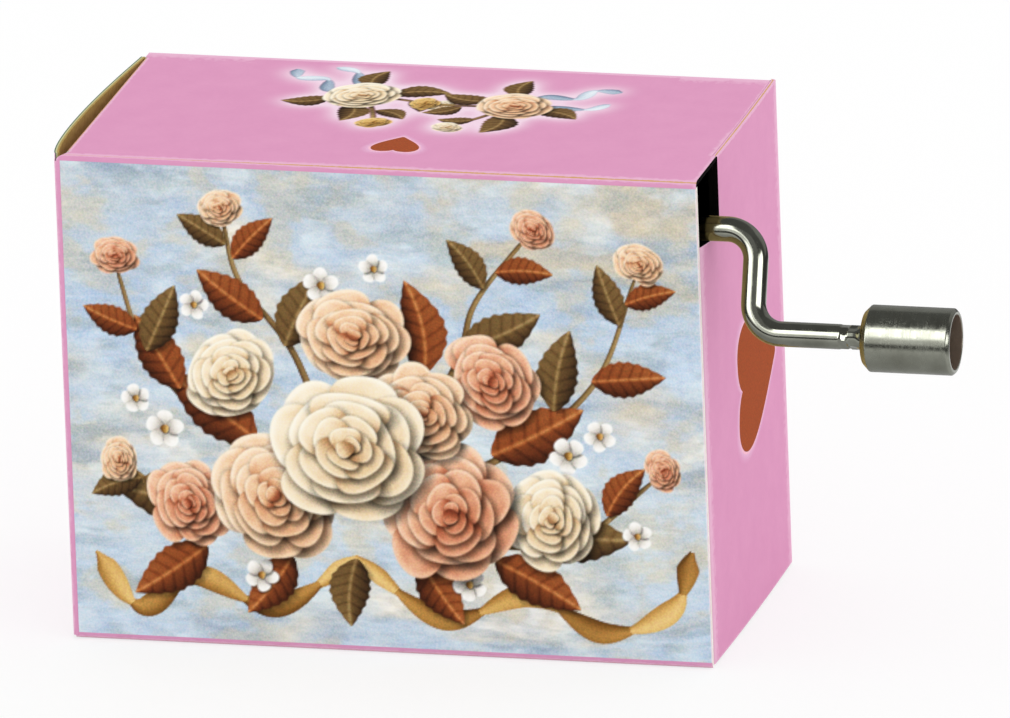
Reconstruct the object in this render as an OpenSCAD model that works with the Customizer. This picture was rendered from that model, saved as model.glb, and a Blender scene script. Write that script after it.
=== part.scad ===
// Hand-cranked music box: a folding carton with a small comb-and-cylinder movement hung under its top panel.
// Frame: +Z up, +X towards the crank, -Y towards the front panel. Origin: middle of the carton's underside.
// All sizes are in millimetres.

/* [Carton] */
// Width of the carton beyond the length of the bedplate inside it
end_room = 8.4; // [8:0.2:28]
// Overall depth of the carton, front to back
carton_d = 30.5; // [30:0.5:40]
// Overall height of the carton
carton_h = 46.5; // [40:0.5:70]
// Thickness of the carton board
board = 0.45; // [0.3:0.05:0.6]
// Outer radius of the four long folds
fold_r = 0.6; // [0.5:0.1:1]
// How far the folds of the left dust flaps lie inside the carton's end
left_recess = 0.9; // [0.8:0.05:1.4]
// How far the folds of the right dust flaps lie inside the carton's end
right_recess = 0.52; // [0.52:0.02:1.4]
// Height of each dust flap
dust_flap_h = 13; // [8:0.5:16]
// Length of the tuck lips
lip_len = 8; // [5:0.5:9]
// Radius of the tuck lips' corners
lip_corner_r = 4; // [1:0.5:5]
// How far the left end panel bows outwards
left_bow = 1.15; // [0.5:0.05:1.5]
// How far the right end panel bows outwards
right_bow = 0.15; // [0.1:0.05:0.4]
// Width of the glue seam inside the bottom panel
seam_w = 9; // [5:0.5:12]

/* [Crank slot] */
// Depth of the slot, from the front face
slot_d = 7.6; // [7:0.1:9]
// Height of the slot, from the top face
slot_h = 7.2; // [7.1:0.1:9]
// How much higher the slot's lower edge is at the front
slot_rise = 0.8; // [0:0.1:1]
// Radius of the slot's inner corner
slot_r = 1.8; // [0.5:0.1:2.5]

/* [Crank] */
// Diameter of the bent crank rod
rod_d = 2.3; // [2:0.05:2.5]
// Distance from the front face to the shaft's axis
shaft_from_front = 4.2; // [4:0.1:4.8]
// Distance from the top face to the shaft's axis
shaft_from_top = 5.75; // [5.7:0.05:6]
// Distance from the carton's right end to the middle of the crank arm
arm_offset = 4.5; // [4:0.1:8]
// Distance from the shaft's axis to the knob's axis
crank_throw = 9.25; // [8:0.05:14]
// Bend radius of the rod's centre line
bend_r = 2.7; // [2.4:0.1:3.5]
// Angle at which the arm rests, forwards of straight down
rest_angle = 20; // [0:1:45]
// Distance from the crank arm to the knob's near end
knob_offset = 10.55; // [8:0.05:16]
// Distance from the knob's near end to the middle of the pinched stop
stop_offset = 1.35; // [1.2:0.05:2]

/* [Knob] */
// Outer diameter of the knob
knob_d = 6.1; // [5.8:0.05:8]
// Length of the knob
knob_len = 8.4; // [6:0.1:12]
// Wall of the knob round the recess in its outer end
knob_rim = 0.55; // [0.45:0.05:0.8]
// Thickness of the knob's inner end wall
knob_wall = 1.8; // [1.2:0.1:3]
// Chamfer on the knob's inner end
knob_chamfer = 0.6; // [0.2:0.05:0.8]
// Chamfer on the knob's outer end
rim_chamfer = 0.25; // [0.1:0.05:0.4]

/* [Worm drive] */
// Axial module of the worm and wheel
gear_module = 0.4; // [0.38:0.01:0.42]
// Number of teeth on the worm wheel
wheel_teeth = 26; // [24:2:28]
// Pitch diameter of the worm
worm_pitch_d = 3.9; // [3.8:0.1:4.2]
// Length of the worm
worm_len = 10; // [9:0.5:11]
// Width of the worm wheel
wheel_w = 2.4; // [1.8:0.1:2.6]
// Backlash, measured along the worm
backlash = 0.2; // [0.15:0.05:0.3]

/* [Cylinder] */
// Outer diameter of the pinned drum
drum_d = 13; // [11:0.5:13]
// Wall of the drum
drum_wall = 0.6; // [0.4:0.1:1]
// Diameter of the tune pins
pin_d = 0.42; // [0.3:0.02:0.5]
// Height of the tune pins above the drum
pin_h = 0.75; // [0.5:0.05:0.9]
// Beats in one turn of the tune
beats = 56; // [32:4:64]
// Diameter of the cylinder's arbor
arbor_d = 2; // [1.6:0.1:2.2]

/* [Comb] */
// Number of teeth in the comb
notes = 18; // [12:1:18]
// Spacing of the teeth
tooth_pitch = 0.9; // [0.8:0.05:0.9]
// Width of the saw cut between two teeth
tooth_cut = 0.24; // [0.2:0.02:0.3]
// Length of the longest tooth
tooth_long = 18.5; // [16:0.5:19]
// Length of the shortest tooth
tooth_short = 11.5; // [9:0.5:14]
// Thickness of the teeth
tooth_t = 0.55; // [0.4:0.05:0.7]
// Thickness of the comb's heel
comb_t = 1.4; // [1.2:0.1:1.8]
// Overall length of the comb
comb_len = 29.8; // [28:0.2:36]
// Gap between the comb's tips and the pins' circle
pluck_gap = 0.1; // [0.06:0.02:0.2]
// Number of bass teeth that carry a weight
weighted_teeth = 6; // [3:1:8]

/* [Bedplate] */
// Thickness of the cast bedplate
plate_t = 1.6; // [1.4:0.1:1.8]
// How far the bedplate runs past the comb's heel
plate_tail = 1.85; // [1.6:0.05:6]
// Thickness of the posts that carry the arbor
post_t = 1.6; // [1.2:0.1:1.8]
// Width of the lugs that carry the crank shaft
lug_w = 3.4; // [3:0.1:4]
// Thickness of the sound board
sound_t = 1.5; // [1.2:0.1:1.6]
// Shank diameter of the comb and mounting screws
screw_d = 2; // [1.8:0.1:2.4]

/* [Hidden] */
$fn = 64;

// Clearances
run_gap = 0.04;        // radial gap of a shaft in its bearing
seat_gap = 0.05;       // radial gap of a fixed screw or ring
end_gap = 0.3;         // gap between a turning face and the fixed face beside it
slip_gap = 0.1;        // gap between faces that rub
hinge_gap = 0.3;       // from a fold's axis to the edge of the panel that swings on it
tuck_gap = 0.25;       // between a tuck lip's fold and the panel that it slides behind
edge_gap = 0.2;        // between the end panels' edges and the carton's top and bottom
lip_edge_gap = 2.15;   // between the tuck lips' edges and the carton's top and bottom

cut_over = 1;          // how far a cut runs past the faces that it opens

// Lengths along the movement, which set the bedplate's length and the carton's width
drum_clear = 1.55;                        // between the pins' circle and the right lug
plate_margin = 0.4;                       // bedplate beyond its right lug and rear post
drum_r = drum_d / 2;
pin_circle_r = drum_r + pin_h;
tip_run = lug_w + drum_clear + 2 * pin_circle_r + pluck_gap;
plate_len = plate_margin + tip_run + comb_len + plate_tail;
carton_w = plate_len + end_room;

// Carton
half_w = carton_w / 2;
half_d = carton_d / 2;
top_in = carton_h - board;
front_in = -half_d + board;
back_in = half_d - board;
hinge_x = half_w - board / 2;
hinge_y = half_d - board / 2;
sleeve_x0 = -half_w + left_recess;
sleeve_x1 = half_w - right_recess;
end_panel_h = carton_h - 2 * edge_gap;
lip_lean = 7;                             // degrees that a tuck lip leans away from its panel
left_pull = 0.6;                          // degrees by which the tuck pulls the left panel in
dust_edge_gap = 0.4;                      // beside the fixed panel
dust_tuck_gap = 1.5;                      // beside the tuck lip
dust_corner = 3;
seam_end_gap = 3;

// Crank shaft, worm and wheel
shaft_y = -half_d + shaft_from_front;
shaft_z = carton_h - shaft_from_top;
rod_r = rod_d / 2;
lead = PI * gear_module;
flank = tan(20);
worm_pitch_r = worm_pitch_d / 2;
wheel_pitch_r = gear_module * wheel_teeth / 2;
centre_distance = worm_pitch_r + wheel_pitch_r;
addendum = 0.9 * gear_module;
dedendum = 1.25 * gear_module;
worm_tip_r = worm_pitch_r + addendum;
worm_root_r = worm_pitch_r - dedendum;
lead_angle = atan(lead / (2 * PI * worm_pitch_r));
flank_w = (lead - backlash) / 2;          // width of a thread or a tooth at the pitch line
lug_r = 3.2;
lug_end_gap = 4.8;
lug_x1 = half_w - lug_end_gap;            // right lug
lug_x0 = lug_x1 - lug_w;
bush_r = 2.1;
washer_t = 0.8;
washer_r = 2.2;
ring_t = 0.5;
ring_r = 2.1;
ring_groove_r = 0.85;

// Cylinder
arbor_r = arbor_d / 2;
drum_x = lug_x0 - drum_clear - pin_circle_r;
arbor_z = shaft_z - centre_distance;
post_gap = 0.35;
post_y0 = shaft_y + worm_tip_r + post_gap;
drum_margin = 0.25;
drum_y0 = post_y0 + post_t + end_gap;
drum_len = notes * tooth_pitch + 2 * drum_margin;
drum_y1 = drum_y0 + drum_len;
rear_post_y0 = drum_y1 + end_gap;
rear_post_y1 = rear_post_y0 + post_t;
cap_t = 1.2;
wheel_hub_r = 2.2;
tooth_sink = 0.3;                         // depth of a tooth's foot inside the wheel's rim
wheel_face_y = shaft_y - wheel_w / 2;
hub_lip = 0.4;
arbor_stub = 0.3;                         // arbor beyond the wheel's hub
arbor_tail = 1.3;                         // arbor beyond the rear post
hub_front_y = wheel_face_y - hub_lip;
arbor_front_y = hub_front_y - arbor_stub;
arbor_rear_y = rear_post_y1 + arbor_tail;
arbor_groove_r = 0.75 * arbor_r;
silent_arc = 24;                          // degrees at the end of the tune without pins

// Left lug and rod
worm_x0 = drum_x - worm_len / 2;
left_lug_x1 = worm_x0 - washer_t - 2 * slip_gap;
left_lug_x0 = left_lug_x1 - lug_w;
ring_x1 = left_lug_x0 - slip_gap;
rod_stub = 1;                             // rod beyond the snap ring
rod_x0 = ring_x1 - ring_t - rod_stub;
arm_x = half_w + arm_offset;
knob_x0 = arm_x + knob_offset;
rivet_r = 1.75;
rivet_t = 0.8;
ear_reach = rod_r + 0.45;                 // pinched stop: from the pin's axis to the ears' tips
ear_foot = 0.85;                          // half the ears' length at the rod
ear_tip = 0.4;                            // half the ears' length at the tips
ear_t = 0.8;

// Bedplate, sound board and comb
sound_z0 = top_in - sound_t;
plate_z0 = sound_z0 - plate_t;
plate_mid_z = plate_z0 + plate_t / 2;
plate_front_gap = 0.6;
plate_x1 = lug_x1 + plate_margin;
plate_x0 = plate_x1 - plate_len;
plate_y0 = front_in + plate_front_gap;
plate_y1 = rear_post_y1 + plate_margin;
plate_corner = 3;
worm_notch = 0.4;                         // room round the worm in the bedplate
post_foot_w = 9;
post_head_r = 2.6;
sound_gap = 0.5;                          // round the sound board, inside the carton
comb_y0 = drum_y0 + drum_margin;
comb_w = notes * tooth_pitch;
tip_x = drum_x - pin_circle_r - pluck_gap;
comb_x0 = tip_x - comb_len;
comb_face_z = arbor_z - tooth_t / 2;      // the comb's flat face, away from the bedplate
seat_z = comb_face_z + comb_t;
seat_w = 8;
seat_margin = 0.3;
seat_corner = 1;
relief_setback = 0.6;                     // from the teeth's roots to the thick heel
weight_len = 2.6;
weight_t = 1.2;
weight_setback = 0.9;
comb_screw_x = comb_x0 + seat_w / 2;
comb_screw_inset = 3.6;
screw_r = screw_d / 2;
screw_head_r = 1.9;
screw_head_t = 1.3;
screw_bite = 5;
screw_play = 0.5;                         // between a screw's tip and the end of its hole
head_sink = 0.1;                          // overlap of a head and its shank
driver_w = 0.5;
boss_r = 2.3;
boss_h = 3;
mount_inset = 4;
mount_offset = 6;
mount_step = 1.5;
mount_points = [
    [plate_x0 + mount_inset, shaft_y],
    [left_lug_x0 - mount_offset, plate_y1 - boss_r],
    [plate_x1 - boss_r, plate_y1 - boss_r - mount_step]
];

// Shapes that repeat

module block(low, high) {
    translate(low) cube(high - low);
}

// A cylinder along X, from x0 to x1 on the crank shaft's line
module along_shaft(x0, x1, r) {
    translate([x0, shaft_y, shaft_z]) rotate([0, 90, 0]) cylinder(h = x1 - x0, r = r);
}

// A cylinder along Y, from y0 to y1 on the arbor's line
module along_arbor(y0, y1, r) {
    translate([drum_x, y0, arbor_z]) rotate([-90, 0, 0]) cylinder(h = y1 - y0, r = r);
}

// A rectangle with round corners, from its lowest corner
module round_rect(size, r) {
    translate([r, 0]) square([size.x - 2 * r, size.y]);
    translate([0, r]) square([size.x, size.y - 2 * r]);
    for (x = [r, size.x - r], y = [r, size.y - r]) translate([x, y]) circle(r);
}

// Draws in the YZ plane and extrudes along X, from x0 to x1
module along_x(x0, x1) {
    translate([x0, 0, 0]) rotate([90, 0, 90]) linear_extrude(x1 - x0) children();
}

// Draws in the XZ plane and extrudes along Y, from y0 to y1
module along_y(y0, y1) {
    translate([0, y1, 0]) rotate([90, 0, 0]) linear_extrude(y1 - y0) children();
}

// Carton

module sleeve_ring() {
    difference() {
        translate([-half_d, 0]) round_rect([carton_d, carton_h], fold_r);
        translate([-half_d + board, board])
            round_rect([carton_d - 2 * board, carton_h - 2 * board], fold_r - board);
    }
}

// A pair of dust flaps on the left end, from the top and bottom panels; the back edges clear the tuck lip
module dust_flaps(x0) {
    z0 = top_in - dust_flap_h;
    y0 = front_in + dust_edge_gap;
    y1 = back_in - dust_tuck_gap;
    for (low = [0, 1]) translate([0, 0, low * carton_h]) mirror([0, 0, low])
        along_x(x0, x0 + board) polygon([
            [y0, top_in + board / 2], [y0, z0 + dust_corner], [y0 + dust_corner, z0],
            [y1 - 2 * dust_corner, z0], [y1, z0 + 2 * dust_corner], [y1, top_in + board / 2]
        ]);
}

// The crank's slot as a block that cuts the right end; its lower edge falls from the front to a round corner
module crank_slot() {
    y1 = -half_d + slot_d;
    z0 = carton_h - slot_h;
    along_x(sleeve_x1 - 2 * board, half_w + cut_over) {
        translate([y1 - slot_r, z0 + slot_r]) circle(slot_r);
        polygon([
            [-half_d - cut_over, carton_h + cut_over], [-half_d - cut_over, z0 + slot_rise],
            [-half_d, z0 + slot_rise], [y1 - slot_r, z0], [y1 - slot_r, z0 + slot_r],
            [y1, z0 + slot_r], [y1, carton_h + cut_over]
        ]);
    }
}

module carton_sleeve() {
    color("orchid") {
        difference() {
            union() {
                along_x(sleeve_x0, sleeve_x1) sleeve_ring();
                dust_flaps(sleeve_x0);
                rotate([0, 0, 180]) dust_flaps(-sleeve_x1);
            }
            intersection() {
                crank_slot();
                block([sleeve_x1 - 2 * board, front_in, 0], [half_w, half_d, top_in]);
            }
        }
        for (turn = [0, 180]) rotate([0, 0, turn]) {
            block([-hinge_x, -half_d, fold_r], [half_w, front_in, carton_h - fold_r]);
            translate([-hinge_x, -hinge_y, fold_r]) cylinder(h = carton_h - 2 * fold_r, r = board / 2);
        }
        block(
            [sleeve_x0 + seam_end_gap, back_in - seam_w, board],
            [sleeve_x1 - seam_end_gap, back_in, 2 * board]
        );
    }
}

// Outline of a bowed end panel in plan, hinged at the front left and tucked in at the back
module panel_plan(bow) {
    y0 = -hinge_y + hinge_gap;
    y1 = back_in - tuck_gap - board;
    chord = y1 - y0;
    bow_r = chord * chord / (8 * bow) + bow / 2;
    intersection() {
        translate([-half_w - bow + bow_r, (y0 + y1) / 2]) difference() {
            circle(bow_r, $fn = 720);
            circle(bow_r - board, $fn = 720);
        }
        translate([-half_w - 2 * bow, y0]) square([4 * bow + 2 * board, chord]);
    }
}

// Outline of the tuck lip in plan, with its round fold
module lip_plan() {
    y1 = back_in - tuck_gap - board;
    translate([-half_w + board, y1]) {
        circle(board, $fn = 48);
        rotate(-lip_lean) square([lip_len - board, board]);
    }
}

module end_flap(bow, lip_top) {
    lip_h = lip_top - lip_edge_gap;
    translate([0, 0, edge_gap]) linear_extrude(end_panel_h) panel_plan(bow);
    intersection() {
        translate([0, 0, lip_edge_gap]) linear_extrude(lip_h) lip_plan();
        along_y(0, half_d) translate([-half_w - lip_len, lip_edge_gap])
            round_rect([2 * lip_len, lip_h], lip_corner_r);
    }
}

module left_end_flap() {
    color("orchid") translate([-hinge_x, -hinge_y, 0]) rotate([0, 0, -left_pull])
        translate([hinge_x, hinge_y, 0]) end_flap(left_bow, carton_h - lip_edge_gap);
}

module right_end_flap() {
    color("orchid") difference() {
        rotate([0, 0, 180]) end_flap(right_bow, carton_h - slot_h - lip_edge_gap);
        crank_slot();
    }
}

// Movement

module at_mount_points() {
    for (p = mount_points) translate([p.x, p.y, 0]) children();
}

module sound_board() {
    color("burlywood") difference() {
        block(
            [sleeve_x0 + board + sound_gap, front_in + sound_gap, sound_z0],
            [sleeve_x1 - board - sound_gap, back_in - sound_gap, top_in]
        );
        at_mount_points() mounting_screw(seat_gap);
    }
}

// A countersunk screw from the sound board's top face down into a boss
module mounting_screw(gap) {
    head_h = screw_head_r - screw_r;
    tip_z = plate_z0 - boss_h + screw_play;
    translate([0, 0, tip_z - gap]) cylinder(h = top_in - tip_z + gap, r = screw_r + gap);
    translate([0, 0, top_in - head_h - gap])
        cylinder(h = head_h + gap, r1 = screw_r + gap, r2 = screw_head_r + gap);
}

module mounting_screws() {
    color("silver") at_mount_points() mounting_screw(0);
}

// A post that hangs from the bedplate and carries the arbor, with a taper and a round head
module arbor_post(y0) {
    foot = post_foot_w / 2;
    along_y(y0, y0 + post_t) translate([drum_x, arbor_z]) {
        circle(post_head_r);
        polygon([
            [-post_head_r, 0], [post_head_r, 0], [foot, plate_mid_z - arbor_z], [-foot, plate_mid_z - arbor_z]
        ]);
    }
}

// A lug that hangs from the bedplate and carries the crank shaft in a bush
module shaft_lug(x0) {
    along_shaft(x0, x0 + lug_w, lug_r);
    block([x0, shaft_y - lug_r, shaft_z], [x0 + lug_w, shaft_y + lug_r, plate_mid_z]);
}

module comb_seat() {
    translate([comb_x0 - seat_margin, comb_y0 - seat_margin, seat_z]) linear_extrude(plate_mid_z - seat_z)
        round_rect([seat_w + seat_margin, comb_w + 2 * seat_margin], seat_corner);
}

module bedplate() {
    color("lightgray") difference() {
        union() {
            translate([plate_x0, plate_y0, plate_z0])
                linear_extrude(plate_t) round_rect([plate_len, plate_y1 - plate_y0], plate_corner);
            comb_seat();
            arbor_post(post_y0);
            arbor_post(rear_post_y0);
            shaft_lug(left_lug_x0);
            shaft_lug(lug_x0);
            at_mount_points() translate([0, 0, plate_z0 - boss_h])
                cylinder(h = plate_mid_z - plate_z0 + boss_h, r = boss_r);
        }
        block(
            [left_lug_x1, plate_y0 - cut_over, plate_z0 - cut_over],
            [worm_x0 + worm_len + worm_notch, shaft_y + worm_tip_r + post_gap / 2, sound_z0 + cut_over]
        );
        along_shaft(left_lug_x0 - cut_over, lug_x1 + cut_over, bush_r);
        along_arbor(post_y0 - cut_over, rear_post_y1 + cut_over, arbor_r + run_gap);
        at_mount_points() mounting_screw(seat_gap);
        at_comb_screws() translate([0, 0, seat_z - cut_over])
            cylinder(h = screw_bite + cut_over, r = screw_r + seat_gap);
    }
}

module shaft_bushes() {
    color("goldenrod") for (x = [left_lug_x0, lug_x0]) difference() {
        along_shaft(x, x + lug_w, bush_r);
        along_shaft(x - cut_over, x + lug_w + cut_over, rod_r + run_gap);
    }
}

// Comb

function tooth_len(i) = tooth_long + (tooth_short - tooth_long) * i / (notes - 1);
function tooth_y(i) = comb_y0 + (i + 0.5) * tooth_pitch;

module at_comb_screws() {
    for (y = [comb_y0 + comb_screw_inset, comb_y0 + comb_w - comb_screw_inset])
        translate([comb_screw_x, y, 0]) children();
}

module comb() {
    thin = comb_t - tooth_t;
    color("silver") difference() {
        block([comb_x0, comb_y0, comb_face_z], [tip_x, comb_y0 + comb_w, seat_z]);
        for (i = [1 : notes - 1]) block(
            [tip_x - tooth_len(i - 0.5), comb_y0 + i * tooth_pitch - tooth_cut / 2, comb_face_z - cut_over],
            [tip_x + cut_over, comb_y0 + i * tooth_pitch + tooth_cut / 2, seat_z + cut_over]
        );
        translate([0, 0, seat_z - thin]) linear_extrude(thin + cut_over) polygon([
            [tip_x - tooth_long - relief_setback, comb_y0 - cut_over],
            [tip_x - tooth_short - relief_setback, comb_y0 + comb_w + cut_over],
            [tip_x + cut_over, comb_y0 + comb_w + cut_over], [tip_x + cut_over, comb_y0 - cut_over]
        ]);
        at_comb_screws() translate([0, 0, comb_face_z - cut_over])
            cylinder(h = comb_t + 2 * cut_over, r = screw_r + seat_gap);
    }
}

// Weights on the bass teeth, on the side that faces the bedplate
module comb_weights() {
    half = tooth_pitch / 2 - tooth_cut;
    z0 = comb_face_z + tooth_t;
    x1 = tip_x - weight_setback;
    color("dimgray") for (i = [0 : weighted_teeth - 1]) block(
        [x1 - weight_len, tooth_y(i) - half, z0],
        [x1, tooth_y(i) + half, z0 + weight_t * (1 - i / (2 * weighted_teeth))]
    );
}

module comb_screws() {
    color("gainsboro") at_comb_screws() difference() {
        union() {
            translate([0, 0, comb_face_z - screw_head_t]) cylinder(h = screw_head_t, r = screw_head_r);
            translate([0, 0, comb_face_z - head_sink])
                cylinder(h = head_sink + comb_t + screw_bite - screw_play, r = screw_r);
        }
        block(
            [-screw_head_r - cut_over, -driver_w / 2, comb_face_z - screw_head_t - cut_over],
            [screw_head_r + cut_over, driver_w / 2, comb_face_z - screw_head_t / 2]
        );
    }
}

// Crank

// The rod's bent end, drawn on the shaft's line with the arm straight down
module crank_bends() {
    translate([arm_x - bend_r, 0, -bend_r]) rotate([90, 0, 0])
        rotate_extrude(angle = 90) translate([bend_r, 0]) circle(rod_r);
    translate([arm_x, 0, bend_r - crank_throw]) cylinder(h = crank_throw - 2 * bend_r, r = rod_r);
    translate([arm_x + bend_r, 0, bend_r - crank_throw]) rotate([90, 0, 0]) rotate([0, 0, 180])
        rotate_extrude(angle = 90) translate([bend_r, 0]) circle(rod_r);
}

// The handle pin: straight rod, the pinched stop before the knob and the riveted head after it
module crank_pin() {
    rivet_x = knob_x0 + knob_wall + slip_gap;
    stop_x = knob_x0 - stop_offset;
    pin_x = arm_x + bend_r;
    translate([0, 0, -crank_throw]) {
        translate([pin_x, 0, 0]) rotate([0, 90, 0]) cylinder(h = rivet_x - pin_x, r = rod_r);
        translate([rivet_x, 0, 0]) rotate([0, 90, 0]) cylinder(h = rivet_t, r1 = rivet_r, r2 = rod_r);
        for (side = [0, 180]) translate([stop_x, 0, 0]) rotate([side, 0, 0])
            translate([0, 0, -ear_t / 2]) linear_extrude(ear_t)
                polygon([[-ear_foot, 0], [-ear_tip, ear_reach], [ear_tip, ear_reach], [ear_foot, 0]]);
    }
}

// Groove for the snap ring, drawn on the shaft's line
module ring_groove() {
    translate([ring_x1 - ring_t, 0, 0]) rotate([0, 90, 0]) difference() {
        cylinder(h = ring_t, r = rod_r + cut_over);
        cylinder(h = ring_t, r = ring_groove_r);
    }
}

module crank_rod() {
    color("silver") translate([0, shaft_y, shaft_z]) rotate([-rest_angle, 0, 0]) {
        difference() {
            translate([rod_x0, 0, 0]) rotate([0, 90, 0]) cylinder(h = arm_x - bend_r - rod_x0, r = rod_r);
            ring_groove();
        }
        crank_bends();
        crank_pin();
    }
}

// One open ring with a mouth, that snaps into a groove; drawn flat
module snap_ring(inner_r) {
    difference() {
        circle(ring_r);
        circle(inner_r);
        translate([0, -0.8 * inner_r]) square([ring_r + cut_over, 1.6 * inner_r]);
    }
}

module shaft_ring() {
    color("darkgray") translate([ring_x1 - ring_t, shaft_y, shaft_z]) rotate([90, 0, 90])
        linear_extrude(ring_t) snap_ring(ring_groove_r + seat_gap);
}

module thrust_washer() {
    x0 = left_lug_x1 + slip_gap;
    color("whitesmoke") difference() {
        along_shaft(x0, x0 + washer_t, washer_r);
        along_shaft(x0 - cut_over, x0 + washer_t + cut_over, rod_r + seat_gap);
    }
}

// Worm: a left-hand thread swept round its core, so that turning the crank clockwise plays the tune

thread_turns = 7;
thread_steps = 20;
thread_sink = 0.1;                        // depth of the thread's foot inside the core
thread_fade = 0.3;                        // turns over which the thread rises at each end

function thread_tip(turn) =
    let(rise = min(1, turn / thread_fade, (thread_turns - turn) / thread_fade))
    worm_root_r - thread_sink / 2 + (worm_tip_r - worm_root_r + thread_sink / 2) * max(0, rise);
function half_width_at(r) = flank_w / 2 + (worm_pitch_r - r) * flank;
function thread_ring(turn) = let(
    tip = thread_tip(turn),
    foot = worm_root_r - thread_sink,
    x = (turn - thread_turns / 2) * lead,
    a = -360 * (turn - thread_turns / 2) - 90
) [for (q = [[-1, foot], [-1, tip], [1, tip], [1, foot]])
    [x + q[0] * half_width_at(q[1]), q[1] * cos(a), q[1] * sin(a)]];

module worm_thread() {
    n = thread_turns * thread_steps;
    points = [for (k = [0 : n]) each thread_ring(k / thread_steps)];
    sides = [for (k = [0 : n - 1], j = [0 : 3]) let(a = 4 * k + j, b = 4 * k + (j + 1) % 4)
        each [[a, a + 4, b], [b, a + 4, b + 4]]];
    ends = [[0, 1, 2], [0, 2, 3], [4 * n + 2, 4 * n + 1, 4 * n], [4 * n + 3, 4 * n + 2, 4 * n]];
    polyhedron(points, concat(sides, ends));
}

module worm() {
    color("gold") difference() {
        union() {
            along_shaft(worm_x0, worm_x0 + worm_len, worm_root_r);
            translate([drum_x, shaft_y, shaft_z]) worm_thread();
        }
        along_shaft(worm_x0 - cut_over, worm_x0 + worm_len + cut_over, rod_r);
    }
}

module crank_knob() {
    knob_r = knob_d / 2;
    recess_r = knob_r - knob_rim;
    bore_r = rod_r + run_gap;
    color("silver") translate([0, shaft_y, shaft_z]) rotate([-rest_angle, 0, 0])
        translate([knob_x0, 0, -crank_throw]) rotate([0, 90, 0]) rotate_extrude() polygon([
            [bore_r, 0], [knob_r - knob_chamfer, 0], [knob_r, knob_chamfer],
            [knob_r, knob_len - rim_chamfer], [knob_r - rim_chamfer, knob_len],
            [recess_r, knob_len], [recess_r, knob_wall], [bore_r, knob_wall]
        ]);
}

// Cylinder

module cylinder_drum() {
    color("gold") difference() {
        along_arbor(drum_y0, drum_y1, drum_r);
        along_arbor(drum_y0 - cut_over, drum_y1 + cut_over, drum_r - drum_wall);
    }
}

module drum_end_caps() {
    color("goldenrod") for (y = [drum_y0, drum_y1 - cap_t]) difference() {
        along_arbor(y, y + cap_t, drum_r - drum_wall);
        along_arbor(y - cut_over, y + cap_t + cut_over, arbor_r);
    }
}

// Tracks that sound on each beat: a rising broken chord, with a second voice on even beats
function tracks(beat) = let(first = (5 * beat) % notes)
    beat % 2 == 0 ? [first, (first + 8) % notes] : [first];

module tune_pins() {
    color("lightgray") for (beat = [0 : beats - 1]) for (track = tracks(beat))
        translate([drum_x, tooth_y(track), arbor_z])
            rotate([0, beat * (360 - silent_arc) / beats, 0])
                translate([0, 0, drum_r]) cylinder(h = pin_h, d = pin_d, $fn = 16);
}

// One wheel tooth, a straight prism set at the worm's lead angle, pointing up
module wheel_tooth() {
    foot = wheel_pitch_r - dedendum - tooth_sink;
    tip = wheel_pitch_r + addendum;
    function half_at(r) = flank_w / 2 + (wheel_pitch_r - r) * flank;
    rotate([0, 0, lead_angle]) along_y(-wheel_w, wheel_w) polygon([
        [-half_at(foot), foot], [half_at(foot), foot], [half_at(tip), tip], [-half_at(tip), tip]
    ]);
}

module worm_wheel() {
    y1 = shaft_y + wheel_w / 2;
    color("ivory") difference() {
        union() {
            along_arbor(wheel_face_y, y1, wheel_pitch_r - dedendum);
            along_arbor(hub_front_y, post_y0 - slip_gap, wheel_hub_r);
            intersection() {
                translate([drum_x, shaft_y, arbor_z]) for (i = [0 : wheel_teeth - 1])
                    rotate([0, (i + 0.5) * 360 / wheel_teeth, 0]) wheel_tooth();
                along_arbor(wheel_face_y, y1, wheel_pitch_r + addendum);
            }
        }
        along_arbor(hub_front_y - cut_over, post_y0 + cut_over, arbor_r);
    }
}

module cylinder_arbor() {
    groove_y0 = rear_post_y1 + slip_gap;
    color("gainsboro") difference() {
        along_arbor(arbor_front_y, arbor_rear_y, arbor_r);
        difference() {
            along_arbor(groove_y0, groove_y0 + ring_t, arbor_r + cut_over);
            along_arbor(groove_y0 - cut_over, groove_y0 + ring_t + cut_over, arbor_groove_r);
        }
    }
}

module arbor_ring() {
    color("darkgray") translate([drum_x, rear_post_y1 + slip_gap + ring_t, arbor_z]) rotate([90, 0, 0])
        linear_extrude(ring_t) snap_ring(arbor_groove_r + seat_gap);
}

carton_sleeve();
left_end_flap();
right_end_flap();
sound_board();
mounting_screws();
bedplate();
comb();
comb_weights();
comb_screws();
shaft_bushes();
crank_rod();
worm();
thrust_washer();
shaft_ring();
crank_knob();
cylinder_drum();
tune_pins();
drum_end_caps();
worm_wheel();
cylinder_arbor();
arbor_ring();
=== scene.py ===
import math

import bpy
import numpy as np
from mathutils import Matrix, Vector


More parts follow.
